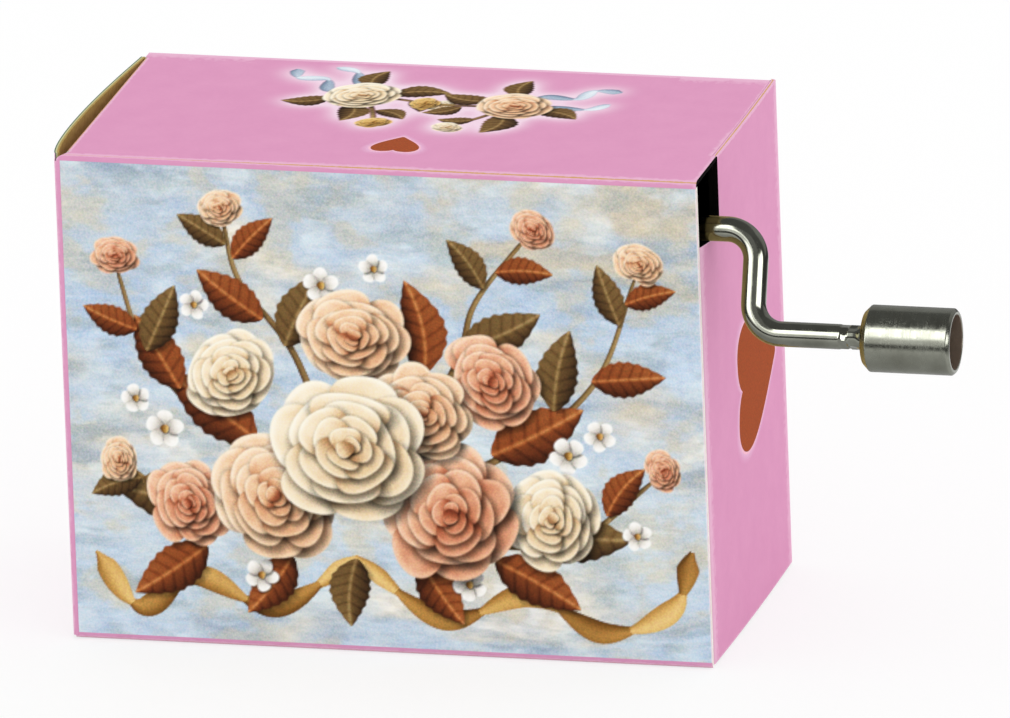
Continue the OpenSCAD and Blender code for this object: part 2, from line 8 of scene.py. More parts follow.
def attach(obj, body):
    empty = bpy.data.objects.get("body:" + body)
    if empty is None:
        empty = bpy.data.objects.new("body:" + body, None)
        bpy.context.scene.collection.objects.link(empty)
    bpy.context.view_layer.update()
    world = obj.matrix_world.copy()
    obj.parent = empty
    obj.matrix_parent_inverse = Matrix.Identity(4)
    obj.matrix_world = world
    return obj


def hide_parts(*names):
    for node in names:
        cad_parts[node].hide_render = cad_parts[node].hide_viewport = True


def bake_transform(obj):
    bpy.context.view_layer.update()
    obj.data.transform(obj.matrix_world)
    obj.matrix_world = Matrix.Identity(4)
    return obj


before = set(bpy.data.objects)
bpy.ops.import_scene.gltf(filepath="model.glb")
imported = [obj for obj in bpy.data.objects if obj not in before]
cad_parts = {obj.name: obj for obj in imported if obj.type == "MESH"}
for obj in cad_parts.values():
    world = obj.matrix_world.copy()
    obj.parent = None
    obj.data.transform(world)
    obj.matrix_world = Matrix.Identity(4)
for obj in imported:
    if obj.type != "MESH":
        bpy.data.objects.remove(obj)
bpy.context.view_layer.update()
scene = bpy.context.scene
mm = 0.001
hair = 0.01                # mm between two points that make a sharp step
tiny = 1e-6
farOff = 9.0               # mm; no fold or cut is near
quarterTurn = math.pi / 2
fullTurn = 2.0 * math.pi
randomTurn = 6.28          # what random angles are spread over


# Arrays and meshes

def smoothStep(low, high, value):
    # 0 below low, 1 above high, a smooth S between them
    t = np.clip((value - low) / (high - low), 0.0, 1.0)
    return t * t * (3.0 - 2.0 * t)


def fineEnds(length, step):
    # places along a panel: close together near both ends, where folds and cut edges wear, even between them
    ends = np.array([0.0, 0.08, 0.18, 0.32, 0.5, 0.8, 1.3])    # mm from an end
    count = max(int((length - 2.0 * ends[-1]) / step), 2)
    middle = np.linspace(ends[-1], length - ends[-1], count + 1)[1:-1]
    return np.concatenate([ends, middle, length - ends[::-1]])


def gridFaces(rows, cols):
    # one quad for each cell of a grid; its normal is the row direction crossed with the column direction
    index = np.arange(rows * cols).reshape(rows, cols)
    quads = [index[:-1, :-1], index[1:, :-1], index[1:, 1:], index[:-1, 1:]]
    return np.stack(quads, axis=-1).reshape(-1, 4)


def ringFaces(rings, following):
    # one quad between neighbours on closed rings; its normal is the way round crossed with the way to the
    # following ring
    quads = [rings, np.roll(rings, -1, axis=1), np.roll(following, -1, axis=1), following]
    return np.stack(quads, axis=-1).reshape(-1, 4)


def gridNormals(points):
    # unit cross product of the two grid directions
    normal = np.cross(np.gradient(points, axis=0), np.gradient(points, axis=1))
    return normal / np.linalg.norm(normal, axis=-1, keepdims=True)


def gridOf(x, y, z):
    # a grid of points; each coordinate is given for all of it, along one way of it or as one number
    return np.stack(np.broadcast_arrays(x, y, z), axis=-1)


def arcPoints(centre, radius, degrees):
    # points of a circle in plan
    turn = np.radians(degrees)
    return np.array(centre) + radius * np.stack([np.cos(turn), np.sin(turn)], axis=1)


def runAlong(plan):
    # distance from the first point, measured along a line
    return np.concatenate([[0.0], np.cumsum(np.linalg.norm(np.diff(plan, axis=0), axis=1))])


def gridPart(points, **values):
    # a grid as a list of points with its quads and its values at the points
    rows, cols = points.shape[:2]
    flat = {key: np.broadcast_to(value, (rows, cols)).ravel() for key, value in values.items()}
    return {"points": points.reshape(-1, 3), "faces": [gridFaces(rows, cols)], "values": flat}


def joinParts(parts):
    # several parts as one, each one's faces counted on from the points before
    offset = 0
    faces = []
    for part in parts:
        faces += [block + offset for block in part["faces"]]
        offset += len(part["points"])
    points = np.concatenate([part["points"] for part in parts])
    values = {key: np.concatenate([part["values"][key] for part in parts]) for key in parts[0]["values"]}
    return {"points": points, "faces": faces, "values": values}


def makePiece(name, part, body, material, colours=None, sharp=None):
    mesh = bpy.data.meshes.new(name)
    corners = np.concatenate([block.ravel() for block in part["faces"]]).astype(np.int32)
    counts = np.concatenate([np.full(len(block), block.shape[1]) for block in part["faces"]])
    starts = np.concatenate([[0], np.cumsum(counts)[:-1]]).astype(np.int32)
    mesh.vertices.add(len(part["points"]))
    mesh.vertices.foreach_set("co", (part["points"] * mm).astype(np.float32).ravel())
    mesh.loops.add(len(corners))
    mesh.loops.foreach_set("vertex_index", corners)
    mesh.polygons.add(len(starts))
    mesh.polygons.foreach_set("loop_start", starts)
    mesh.update(calc_edges=True)
    mesh.shade_smooth()
    if sharp:
        mesh.set_sharp_from_angle(angle=math.radians(sharp))
    for key, value in part["values"].items():
        attribute = mesh.attributes.new(key, "FLOAT", "POINT")
        attribute.data.foreach_set("value", value.astype(np.float32))
    if colours is not None:
        withAlpha = np.concatenate([colours, np.ones((len(colours), 1))], axis=1)
        attribute = mesh.attributes.new("paint", "FLOAT_COLOR", "POINT")
        attribute.data.foreach_set("color", withAlpha.astype(np.float32).ravel())
    mesh.materials.append(material)
    piece = bpy.data.objects.new(name, mesh)
    scene.collection.objects.link(piece)
    if body:
        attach(piece, body)
    print(name, len(mesh.vertices), "points", len(mesh.polygons), "faces")
    return piece


# Shader helpers

def toLinear(shown):
    # colours as seen on a screen, 0 to 1, as linear light
    return np.where(shown <= 0.04045, shown / 12.92, ((shown + 0.055) / 1.055) ** 2.4)


def rgba(screen):
    # a screen colour, 0 to 255, for a socket
    return (*toLinear(np.array(screen) / 255.0), 1.0)


def addNode(tree, kind, inputs=None, **settings):
    # settings first, because some of them change which sockets a node has
    node = tree.nodes.new("ShaderNode" + kind)
    for key, value in settings.items():
        setattr(node, key, value)
    # a socket is linked, any other value is set
    for key, value in (inputs or {}).items():
        if isinstance(value, bpy.types.NodeSocket):
            tree.links.new(value, node.inputs[key])
        else:
            node.inputs[key].default_value = value
    return node


def math2(tree, operation, first, second=0.0, clamp=False):
    return addNode(tree, "Math", {0: first, 1: second}, operation=operation, use_clamp=clamp).outputs[0]


def mixColour(tree, factor, first, second, blend="MIX"):
    inputs = {0: factor, 6: first, 7: second}
    return addNode(tree, "Mix", inputs, data_type="RGBA", blend_type=blend).outputs[2]


def rangeOf(tree, value, low, high, toLow, toHigh):
    inputs = {"Value": value, "From Min": low, "From Max": high, "To Min": toLow, "To Max": toHigh}
    return addNode(tree, "MapRange", inputs).outputs["Result"]


def newGroup(name, inputs, outputs):
    tree = bpy.data.node_groups.new(name, "ShaderNodeTree")
    for way, sockets in (("INPUT", inputs), ("OUTPUT", outputs)):
        for label, kind in sockets.items():
            tree.interface.new_socket(label, in_out=way, socket_type="NodeSocket" + kind)
    return tree, tree.nodes.new("NodeGroupInput").outputs, tree.nodes.new("NodeGroupOutput").inputs


def useGroup(tree, group, inputs):
    return addNode(tree, "Group", inputs, node_tree=group).outputs


def noiseOf(tree, place, scale, detail):
    return addNode(tree, "TexNoise", {"Vector": place, "Scale": scale, "Detail": detail}).outputs


# Effects that several materials share

effects = {
    "noise": (0.3, 0.7),          # where most of a noise's values lie
    "cloudDetail": 4.0,
    "speckleDetail": 2.0,
    "speckleFiner": 6.0,          # how many times finer the speckle is than the clouds
    "wearDetail": 5.0,
    "wearRagged": (0.6, 1.3),     # shares of the reach between which the border wanders
    "wearFull": 0.45,             # share of the reach that is fully worn
    "wearLeast": 0.001,           # mm; keeps a reach of nothing from dividing by it
    "lineDetail": 6.0,
    "markDetail": 3.0,
    "lineShow": (0.12, 0.45),     # lines times marks, from no scratch to a full one
}


def makeMottle(v):
    # two colours mixed by a cloudy noise, with a finer speckle on top
    inputs = {"Vector": "Vector", "Scale": "Float", "Light": "Color", "Dark": "Color", "Speckle": "Float"}
    tree, given, result = newGroup("mottle", inputs, {"Color": "Color"})
    cloud = noiseOf(tree, given["Vector"], given["Scale"], v["cloudDetail"])[0]
    fine = math2(tree, "MULTIPLY", given["Scale"], v["speckleFiner"])
    dots = noiseOf(tree, given["Vector"], fine, v["speckleDetail"])[0]
    colour = mixColour(tree, rangeOf(tree, cloud, *v["noise"], 0.0, 1.0), given["Dark"], given["Light"])
    shift = math2(tree, "MULTIPLY", math2(tree, "SUBTRACT", dots, 0.5), given["Speckle"])
    level = addNode(tree, "CombineColor", {0: 0.0, 1: 0.0, 2: math2(tree, "ADD", shift, 1.0)}, mode="HSV")
    tree.links.new(mixColour(tree, 1.0, colour, level.outputs[0], "MULTIPLY"), result["Color"])
    return tree


def makeEdgeWear(v):
    # 1 on the edge, falling to 0 at the reach, with a ragged border
    inputs = {"Vector": "Vector", "Scale": "Float", "Distance": "Float", "Reach": "Float"}
    tree, given, result = newGroup("edgeWear", inputs, {"Mask": "Float"})
    noise = noiseOf(tree, given["Vector"], given["Scale"], v["wearDetail"])[0]
    ragged = math2(tree, "MULTIPLY", given["Reach"], rangeOf(tree, noise, *v["noise"], *v["wearRagged"]))
    share = math2(tree, "DIVIDE", given["Distance"], math2(tree, "MAXIMUM", ragged, v["wearLeast"]))
    tree.links.new(rangeOf(tree, share, v["wearFull"], 1.0, 1.0, 0.0), result["Mask"])
    return tree


def makeScratches(v):
    # fine lines stretched along the surface, as heights and as a change of gloss
    inputs = {"Vector": "Vector", "Along": "Vector", "Scale": "Float"}
    tree, given, result = newGroup("scratches", inputs, {"Height": "Float", "Gloss": "Float"})
    pulled = addNode(tree, "VectorMath", {0: given["Vector"], 1: given["Along"]}, operation="MULTIPLY")
    lines = noiseOf(tree, pulled.outputs[0], given["Scale"], v["lineDetail"])[0]
    marks = noiseOf(tree, given["Vector"], given["Scale"], v["markDetail"])[0]
    tree.links.new(lines, result["Height"])
    both = math2(tree, "MULTIPLY", lines, marks)
    tree.links.new(rangeOf(tree, both, *v["lineShow"], 0.0, 1.0), result["Gloss"])
    return tree


mottle = makeMottle(effects)
edgeWear = makeEdgeWear(effects)
scratches = makeScratches(effects)


def mottled(tree, place, scale, light, dark, speckle):
    inputs = {"Vector": place, "Scale": scale, "Light": rgba(light), "Dark": rgba(dark), "Speckle": speckle}
    return useGroup(tree, mottle, inputs)["Color"]


def wornMask(tree, place, scale, distance, reach):
    inputs = {"Vector": place, "Scale": scale, "Distance": distance, "Reach": reach}
    return useGroup(tree, edgeWear, inputs)["Mask"]


def newMaterial(name, **constants):
    material = bpy.data.materials.new(name)
    material.use_nodes = True
    tree = material.node_tree
    tree.nodes.clear()
    shader = tree.nodes.new("ShaderNodeBsdfPrincipled")
    end = tree.nodes.new("ShaderNodeOutputMaterial")
    tree.links.new(shader.outputs[0], end.inputs["Surface"])
    for key, value in constants.items():
        shader.inputs[key.replace("_", " ")].default_value = value
    place = tree.nodes.new("ShaderNodeTexCoord").outputs["Object"]
    return material, tree, shader, place


def bumpInto(tree, shader, height, strength, distance):
    # distance in mm
    bump = addNode(tree, "Bump", {"Height": height, "Strength": strength, "Distance": distance * mm})
    tree.links.new(bump.outputs[0], shader.inputs["Normal"])


def attributeOf(tree, name):
    return addNode(tree, "Attribute", attribute_name=name).outputs


# Printed board: pink ink outside, brown board inside, bare fibres on cut edges and rubbed folds; painted
# highlights along folds and painted shade on bare board

boardFinish = {
    "pink": (222, 156, 192),
    "pinkDeep": (219, 152, 189),
    # paler ink along folds: rubbed ink, and a painted highlight where the fold is rounded
    "rubbedInk": (238, 196, 218),
    "rubbedBoard": (206, 160, 84),
    "inside": (184, 158, 94),
    "insideDeep": (164, 137, 76),
    "cut": (246, 243, 238),
    "cutDeep": (230, 224, 212),
    "agedCut": (196, 194, 148),
    "agedRim": (76, 106, 88),
    "mirrored": (198, 174, 120),  # what metal sees of the board
    "shadow": (9, 7, 5),
    "inkScale": 380.0,            # of each pattern, per metre
    "cutScale": 1500.0,
    "insideScale": 2200.0,
    "fibreScale": 5200.0,
    "paleScale": 1400.0,
    "bareScale": 2600.0,
    "inkSpeckle": 0.05,
    "cutSpeckle": 0.25,
    "insideSpeckle": 0.3,
    "fibreDetail": 3.0,
    "fibreTint": 0.4,             # how coloured the grain in the pictures is
    "grain": 0.5,
    "inkReach": 0.42,             # mm along a fold where the ink is paler: partly rubbed ink, partly a painted highlight on the rounded fold
    "leastPale": 0.55,            # share of it on a fold that isn't rubbed
    "paleShare": 0.6,
    "bareReach": 0.17,            # mm of bare board along a rubbed fold
    "bareShare": 0.9,
    "rimEnds": (0.08, 0.13),      # mm across an aged cut where its rim and its pale line end
    "lineEnds": (0.2, 0.3),
    "specular": 0.06,
    "gloss": (0.79, 0.9),
    "insideGloss": 0.88,
    "bump": (0.22, 0.03),         # strength, and mm of height
}


def makePrintedBoard(v):
    material, tree, shader, place = newMaterial("printedBoard", Specular_IOR_Level=v["specular"])
    side = attributeOf(tree, "side")["Fac"]       # 0 printed, 1 cut edge, 2 inside
    edge = attributeOf(tree, "edge")["Fac"]       # mm to the nearest fold or cut
    rub = attributeOf(tree, "rub")["Fac"]         # how rubbed a fold is; on bare board, how much it is painted towards black shade
    cover = attributeOf(tree, "cover")["Fac"]     # how much of a picture covers the ink; on a cut, how aged
    paint = attributeOf(tree, "paint")["Color"]
    fibre = noiseOf(tree, place, v["fibreScale"], v["fibreDetail"])

    ink = mottled(tree, place, v["inkScale"], v["pink"], v["pinkDeep"], v["inkSpeckle"])
    speck = mixColour(tree, v["fibreTint"], fibre[0], fibre["Color"])
    picture = mixColour(tree, v["grain"], paint, speck, "OVERLAY")
    colour = mixColour(tree, cover, ink, picture)

    # folds: paler ink, partly rubbed ink and partly a painted highlight on the rounded fold, then bare board
    # where they are rubbed
    paleReach = math2(tree, "MULTIPLY", math2(tree, "ADD", rub, v["leastPale"]), v["inkReach"])
    fadedAndHighlight = wornMask(tree, place, v["paleScale"], edge, paleReach)
    colour = mixColour(tree, math2(tree, "MULTIPLY", fadedAndHighlight, v["paleShare"]), colour, rgba(v["rubbedInk"]))
    bareReach = math2(tree, "MULTIPLY", rub, v["bareReach"])
    bare = wornMask(tree, place, v["bareScale"], edge, bareReach)
    colour = mixColour(tree, math2(tree, "MULTIPLY", bare, v["bareShare"]), colour, rgba(v["rubbedBoard"]))

    cut = mottled(tree, place, v["cutScale"], v["cut"], v["cutDeep"], v["cutSpeckle"])
    inside = mottled(tree, place, v["insideScale"], v["inside"], v["insideDeep"], v["insideSpeckle"])
    # an aged cut: a dark green rim along its border, a pale line, then the brown of the inside
    onRim = rangeOf(tree, edge, *v["rimEnds"], 1.0, 0.0)
    aged = mixColour(tree, onRim, rgba(v["agedCut"]), rgba(v["agedRim"]))
    aged = mixColour(tree, rangeOf(tree, edge, *v["lineEnds"], 0.0, 1.0), aged, inside)
    cut = mixColour(tree, cover, cut, aged)
    onCut = rangeOf(tree, side, 0.0, 1.0, 0.0, 1.0)
    onInside = rangeOf(tree, side, 1.0, 2.0, 0.0, 1.0)
    # bare board and cut edges are painted towards black as shade, by the same attribute
    plain = mixColour(tree, rub, mixColour(tree, onInside, cut, inside), rgba(v["shadow"]))
    colour = mixColour(tree, onCut, colour, plain)
    glossy = tree.nodes.new("ShaderNodeLightPath").outputs["Is Glossy Ray"]
    colour = mixColour(tree, glossy, colour, rgba(v["mirrored"]))
    tree.links.new(colour, shader.inputs["Base Color"])

    gloss = rangeOf(tree, fibre[0], *effects["noise"], *v["gloss"])
    rough = addNode(tree, "Mix", {0: math2(tree, "MAXIMUM", onCut, fadedAndHighlight), 2: gloss, 3: v["insideGloss"]})
    tree.links.new(rough.outputs[0], shader.inputs["Roughness"])
    bumpInto(tree, shader, fibre[0], *v["bump"])
    return material


printedBoard = makePrintedBoard(boardFinish)


# Carton tube: front, top, back and bottom, four dust flaps and the glue seam

carton = {
    "width": 60.0,
    "depth": 30.5,
    "height": 46.5,
    "board": 0.45,
    "foldRadius": 0.6,
    "foldSteps": 7,
    "step": 1.6,
    "hinge": (-29.775, -15.025),
    "tubeEnds": (-29.1, 29.544),   # folds of the dust flaps
    "backReach": 0.1,              # how far the back goes past the left folds
    "backCorner": 0.12,            # top and bottom end this far from the left folds beside the tuck lip
    "bottomTurn": (5.0, 35.0),     # angles in the bottom front fold where the panels' ends change over
    "rub": 0.12,                   # how rubbed a plain fold is
    "topRub": 0.6,                 # added along the top front fold, growing between these mm in X
    "topRubFrom": (-24.0, 4.0),
    "backRubAndHighlight": 7.0,                # how many times wider the top back fold's pale band is: rubbed ink and a painted highlight
    "frontRub": 0.5,               # the same for the front side of the top front fold
    "frontSide": 0.3,              # which begins this share of the radius below the top
    "endWear": 0.1,                # mm by which a panel's ends are less worn than a fold
    "topCut": (0.55, 0.55),        # where across an inked cut it is rubbed, as a share, and how much
    "slotDepth": 7.6,              # from the front
    "slotDrop": 7.2,               # from the top
    "slotRise": 0.8,               # of the lower edge, to the front
    "slotCorner": 1.8,
    "paintedShadeAlong": (6.0, 20.0),      # mm in X and in Z between which the board behind the slot is painted dark as shade
    "paintedShadeUp": (15.0, 27.0),
}
dust = {
    "height": 13.0,
    "gaps": (0.4, 1.5),            # beside the fixed panel and beside the tuck lip
    "corner": 3.0,
    "rightBend": 0.04,             # the right dust flaps fold sharply
    "thin": 0.93,                  # share of the board's thickness
    "under": 0.004,                # mm left open under the panel
    "rub": (30.0, 0.7),            # angle in a left dust flap's fold where it is rubbed, and how much
    "cutWear": 0.15,
    "dark": (0.2, 1.0),            # painted shade on its bare faces: of a plain one, and of one beside the slot
    "points": (25, 15, 9),         # across, across beside the slot, down
    "least": 0.05,                 # mm of height that the slot leaves
}
halfWidth = carton["width"] / 2
halfDepth = carton["depth"] / 2
boxTop = carton["height"]
board = carton["board"]
slotY = -halfDepth + carton["slotDepth"]
slotZ = boxTop - carton["slotDrop"]


def boardSheet(outer, edge, rub=0.0, thickness=board, sides=(0, 2), openEnds=True, cutSide=1, dark=0.0,
               cutDark=0.0, inkedTop=False, inner=None, aged=0.0):
    # printed face, plain face one thickness below it along the normals, and strips that join their borders
    if inner is None:
        inner = outer - gridNormals(outer) * thickness
    shape = outer.shape[:2]
    # dark and cutDark paint shade on the plain face and on the cut strips
    edge, rub, dark, cutDark = (np.broadcast_to(value, shape) for value in (edge, rub, dark, cutDark))
    parts = [
        gridPart(outer, side=sides[0], edge=edge, rub=rub, cover=0.0),
        gridPart(inner[:, ::-1], side=sides[1], edge=farOff, rub=dark[:, ::-1], cover=0.0),
    ]
    down = np.array([[0.0], [thickness]])
    up = down[::-1]
    borders = [(inner[0], outer[0], up, cutDark[0])]
    if inkedTop:
        # ink over the cut, rubbed through along its middle
        middle, middleRub = carton["topCut"]
        share = np.array([0.0, 0.3, middle, 0.8, 1.0])[:, None]
        strip = outer[-1] + share[..., None] * (inner[-1] - outer[-1])
        line = np.abs(share - middle) * thickness
        parts.append(gridPart(strip, side=0.0, edge=line, rub=middleRub, cover=0.0))
    else:
        borders.append((outer[-1], inner[-1], down, cutDark[-1]))
    if openEnds:
        borders.append((outer[:, 0], inner[:, 0], down, cutDark[:, 0]))
        borders.append((inner[:, -1], outer[:, -1], up, cutDark[:, -1]))
    for first, second, depth, shade in borders:
        strip = np.stack([first, second])
        parts.append(gridPart(strip, side=cutSide, edge=depth, rub=shade, cover=aged))
    return joinParts(parts)


def slotFloor(y):
    # height of the slot's lower edge: a slope that rises to the front, and a quarter circle at the inner
    # corner
    depth, rise, corner = (carton[key] for key in ("slotDepth", "slotRise", "slotCorner"))
    slope = slotZ + rise * np.clip((slotY - corner - y) / (depth - corner), 0.0, 1.0)
    run = np.clip(y - (slotY - corner), 0.0, corner)
    return slope + corner - np.sqrt(corner ** 2 - run ** 2)


# Bow of the end panels

endFlap = {
    "start": carton["hinge"][1] + 0.3,    # where the bow begins beside the hinge
    "foldY": 14.1,
    "foldSteps": 8,
    "edgeGap": 0.2,
    "lipGap": 2.15,
    "lipLength": 8.0,
    "lipLean": 7.0,
    "lipCorner": 4.0,
    "lipSteps": 14,
    "leftBow": 0.92,
    "leftPeak": 0.36,     # where the left panel bows most, as a share of its width from the hinge
    "leftPull": 0.84,     # degrees by which the tuck pulls the left panel in
    "rightBow": 0.15,
    "rightTopGap": 0.04,
    "rightHighlightSpread": 8.0,      # how many times wider the painted highlight along its upright folds is
    "rightClear": 0.006,  # left open between the right panel and what lies behind it
    "hingeSteps": 6,
    "cornerSteps": 10,    # of the slot's corner
    "apart": 0.05,        # mm between the slot's own points and the panel's
    "shadedCut": 1.0,        # mm below the slot's corner to which its cut edge is painted black as shade
    "cutWear": 0.02,
    "thickness": 0.44,
    "step": 0.9,
    "upStep": 1.35,
}


def bowedFace(y, bow, peak=0.5):
    # outer face of a bowed panel over the chord from the hinge's end to the lip's fold: a parabola in a power
    # of the share of the width, so that it can peak off the middle
    v = endFlap
    share = np.clip((y - v["start"]) / (v["foldY"] - v["start"]), 0.0, 1.0)
    share = share ** (math.log(0.5) / math.log(peak))
    return -halfWidth - 4.0 * bow * share * (1.0 - share)


def leftFace(y):
    return bowedFace(y, endFlap["leftBow"], endFlap["leftPeak"])


def rightFace(y):
    return bowedFace(y, endFlap["rightBow"])


def tubeSheet():
    # a rounded rectangle in YZ, walked up the front, over the top and down the back, times X; each panel has
    # its own two ends along X, and in a fold they run from one panel's ends to the next one's
    v = carton
    radius = v["foldRadius"]
    leftFold, rightFold = v["tubeEnds"]
    lipSide = halfDepth - board - dust["gaps"][1]
    topEnds = (leftFold + board, rightFold - dust["rightBend"])
    frontEnds = (v["hinge"][0], halfWidth)
    backEnds = (leftFold - v["backReach"], halfWidth - board)
    panels = [
        ((-halfDepth, radius), (0, 1), boxTop - 2 * radius, frontEnds),
        ((-halfDepth + radius, boxTop), (1, 0), 2 * (halfDepth - radius), topEnds),
        ((halfDepth, boxTop - radius), (0, -1), boxTop - 2 * radius, backEnds),
        ((halfDepth - radius, 0.0), (-1, 0), 2 * (halfDepth - radius), topEnds),
    ]
    loop, ends, fold = [], [], []
    for index, (start, way, length, limits) in enumerate(panels):
        along = fineEnds(length, v["step"])
        if way[1] == 0:
            # sharp steps beside the tuck lip and beside the slot
            steps = (np.array([lipSide, slotY]) - start[0]) * way[0]
            along = np.sort(np.concatenate([along, steps, steps + 2 * hair * way[0]]))
        way = np.array(way, float)
        outward = np.array([-way[1], way[0]])
        loop.append(np.array(start) + along[:, None] * way)
        ends.append(np.tile(limits, (len(along), 1)))
        fold.append(np.minimum(along, length - along) + radius * quarterTurn / 2)
        turn = np.linspace(0.0, quarterTurn, v["foldSteps"] + 2)[1:-1, None]
        centre = np.array(start) + length * way - radius * outward
        loop.append(centre + radius * (np.cos(turn) * outward + np.sin(turn) * way))
        following = np.array(panels[(index + 1) % 4][3])
        between = np.radians(v["bottomTurn"]) if index == 3 else (0.0, quarterTurn)
        ends.append(np.array(limits) + smoothStep(*between, turn) * (following - np.array(limits)))
        fold.append(radius * np.abs(turn[:, 0] - quarterTurn / 2))
    loop, ends, fold = (np.concatenate(rows + [rows[0][:1]]) for rows in (loop, ends, fold))
    y, z = loop[:, 0], loop[:, 1]
    # top and bottom reach out to the bowed right panel, and over the slot the top is flush with it
    level = (z > boxTop - tiny) | (z < tiny)
    bow = np.maximum(-halfWidth - rightFace(-y), 0.0)
    ends[:, 1] += np.where(level, bow, 0.0)
    overSlot = (y < slotY + hair) & (z > boxTop - radius)
    ends[:, 1] = np.where(overSlot, halfWidth, ends[:, 1])
    backCorner = np.minimum(ends[:, 0], leftFold + v["backCorner"])
    ends[:, 0] = np.where(y > lipSide + hair, backCorner, ends[:, 0])
    onTopFold = (y < 0) & (z > boxTop / 2)
    onBackFold = (y > 0) & (z > boxTop / 2)
    underFold = onTopFold & (z < boxTop - v["frontSide"] * radius)
    fold = fold / np.where(onBackFold, v["backRubAndHighlight"], np.where(underFold, v["frontRub"], 1.0))
    share = fineEnds(v["width"], v["step"])[:, None] / v["width"]
    x = ends[None, :, 0] + share * (ends[:, 1] - ends[:, 0])
    outer = gridOf(x, y, z)
    toEnd = np.minimum(x - ends[:, 0], ends[:, 1] - x)
    edge = np.minimum(fold[None, :], toEnd + v["endWear"])
    rub = np.where(onTopFold, v["rub"] + v["topRub"] * smoothStep(*v["topRubFrom"], x), v["rub"])
    inSlot = (y < slotY + v["step"]) & (z > slotZ) & (y > -halfDepth + hair / 2)
    normal = gridNormals(outer)
    normal[:, -1] = normal[:, 0]    # the walk round ends where it began
    # painted shade: the inside darkens where the slot looks in, and the cut edges inside the slot are black
    dark = smoothStep(*v["paintedShadeAlong"], x) * smoothStep(*v["paintedShadeUp"], z)
    cutDark = np.where(inSlot & (x > 0.0), 1.0, 0.0)
    inner = outer - board * normal
    return boardSheet(outer, edge, rub, openEnds=False, dark=dark, cutDark=cutDark, inner=inner)


def dustFlap(y, low, turned, dark, flipped=False, top=None):
    # a quarter-round fold from the tube's panel, then a flat tongue down to its lower edge, times Y; the
    # inner face keeps one thickness from it and meets the panel in a sharp corner
    v = dust
    y = y[::-1]
    low = low[::-1]
    bend = v["rightBend"] if turned else board
    start = rightFace(y)[None, :] + board + endFlap["rightClear"] if turned else carton["tubeEnds"][0]
    folds = 0 if top is not None else carton["foldSteps"] + 3
    turn = np.linspace(0.0, quarterTurn, carton["foldSteps"] + 3)[:folds, None]
    foldX = np.broadcast_to(start + bend - bend * np.sin(turn), (folds, len(y)))
    foldZ = np.broadcast_to(boxTop - bend + bend * np.cos(turn), (folds, len(y)))
    top = np.full(len(y), boxTop - bend) if top is None else top[::-1]
    down = np.linspace(0.0, 1.0, v["points"][2])[1 if folds else 0:, None]
    z = np.concatenate([foldZ, top + down * (low - top)])
    x = np.concatenate([foldX, np.broadcast_to(start, (len(down), len(y)))])
    outer = gridOf(x, y, z)
    thick = v["thin"] * board
    share = np.concatenate([turn[:, 0] / quarterTurn, np.ones(len(down))])[:, None]
    inner = gridOf(start + bend + share * (thick - bend), y, np.minimum(z, boxTop - thick - v["under"]))
    rubAngle, foldRub = v["rub"]
    if turned:
        edge = np.full(x.shape, farOff)
        outer, inner = (face * np.array([-1.0, -1.0, 1.0]) for face in (outer, inner))
    else:
        edge = np.minimum(np.minimum(y - y.min(), y.max() - y)[None, :], np.abs(z - low)) + v["cutWear"]
        edge[:folds] = np.minimum(edge[:folds], np.abs(turn - math.radians(rubAngle)) * bend)
    if flipped:
        over = np.array([0.0, 0.0, boxTop])
        outer, inner = ((face * np.array([1.0, 1.0, -1.0]) + over)[:, ::-1] for face in (outer, inner))
        edge = edge[:, ::-1]
    # behind the fixed right panel a dust flap lies in the dark, so its face is painted black as shade
    onFold = (np.arange(len(x)) < folds)[:, None]
    hidden = ~onFold * turned
    rub = np.where(hidden, 1.0, np.where(onFold, foldRub, carton["rub"]))
    return boardSheet(outer, edge, rub, dark=dark, cutDark=dark, inner=inner, sides=(2.0 * hidden, 2))


def dustFlaps():
    # tongues with two slanted corners, an upper and a lower one at each end; the crank's slot takes the front
    # corner of the right upper one, so that one is in two parts
    v = dust
    y0 = -halfDepth + board + v["gaps"][0]
    y1 = halfDepth - board - v["gaps"][1]
    corner = v["corner"]
    tip = boxTop - board - v["height"]
    plainDark, slotDark = v["dark"]
    across, beside, _ = v["points"]
    y = np.unique(np.concatenate([np.linspace(y0, y1, across), [y0 + corner, y1 - 2 * corner, -slotY]]))
    low = tip + np.maximum(np.maximum(corner - (y - y0), 2 * corner - (y1 - y)), 0.0)
    near = y <= -slotY + tiny
    yFar = np.linspace(-slotY, y1, beside)
    lowFar = tip + np.maximum(2 * corner - (y1 - yFar), 0.0)
    topFar = np.maximum(slotFloor(-yFar), lowFar + v["least"])
    return [
        dustFlap(y, low, False, plainDark),
        dustFlap(y, low, False, plainDark, flipped=True),
        dustFlap(y[near], low[near], True, slotDark),
        dustFlap(yFar, lowFar, True, slotDark, top=topFar),
        dustFlap(y, low, True, plainDark, flipped=True),
    ]


seam = {"width": 9.0, "endGap": 3.0, "backGap": 0.05, "thin": 0.01, "points": (30, 8)}


def seamStrip():
    # a flat strip on the bottom panel's inside, along the back
    v = seam
    leftFold, rightFold = carton["tubeEnds"]
    along, across = v["points"]
    back = halfDepth - board
    x = np.linspace(leftFold + v["endGap"], rightFold - v["endGap"], along)[:, None]
    y = np.linspace(back - v["width"], back - v["backGap"], across)[None, :]
    return boardSheet(gridOf(x, y, 2 * board), farOff, sides=(2, 2), thickness=board - v["thin"])


tubeParts = joinParts([tubeSheet()] + dustFlaps() + [seamStrip()])
tube = makePiece("cartonTube", tubeParts, "case", printedBoard)
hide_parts("carton_sleeve")


# End flaps: the bowed panels with a round fold and a tuck lip

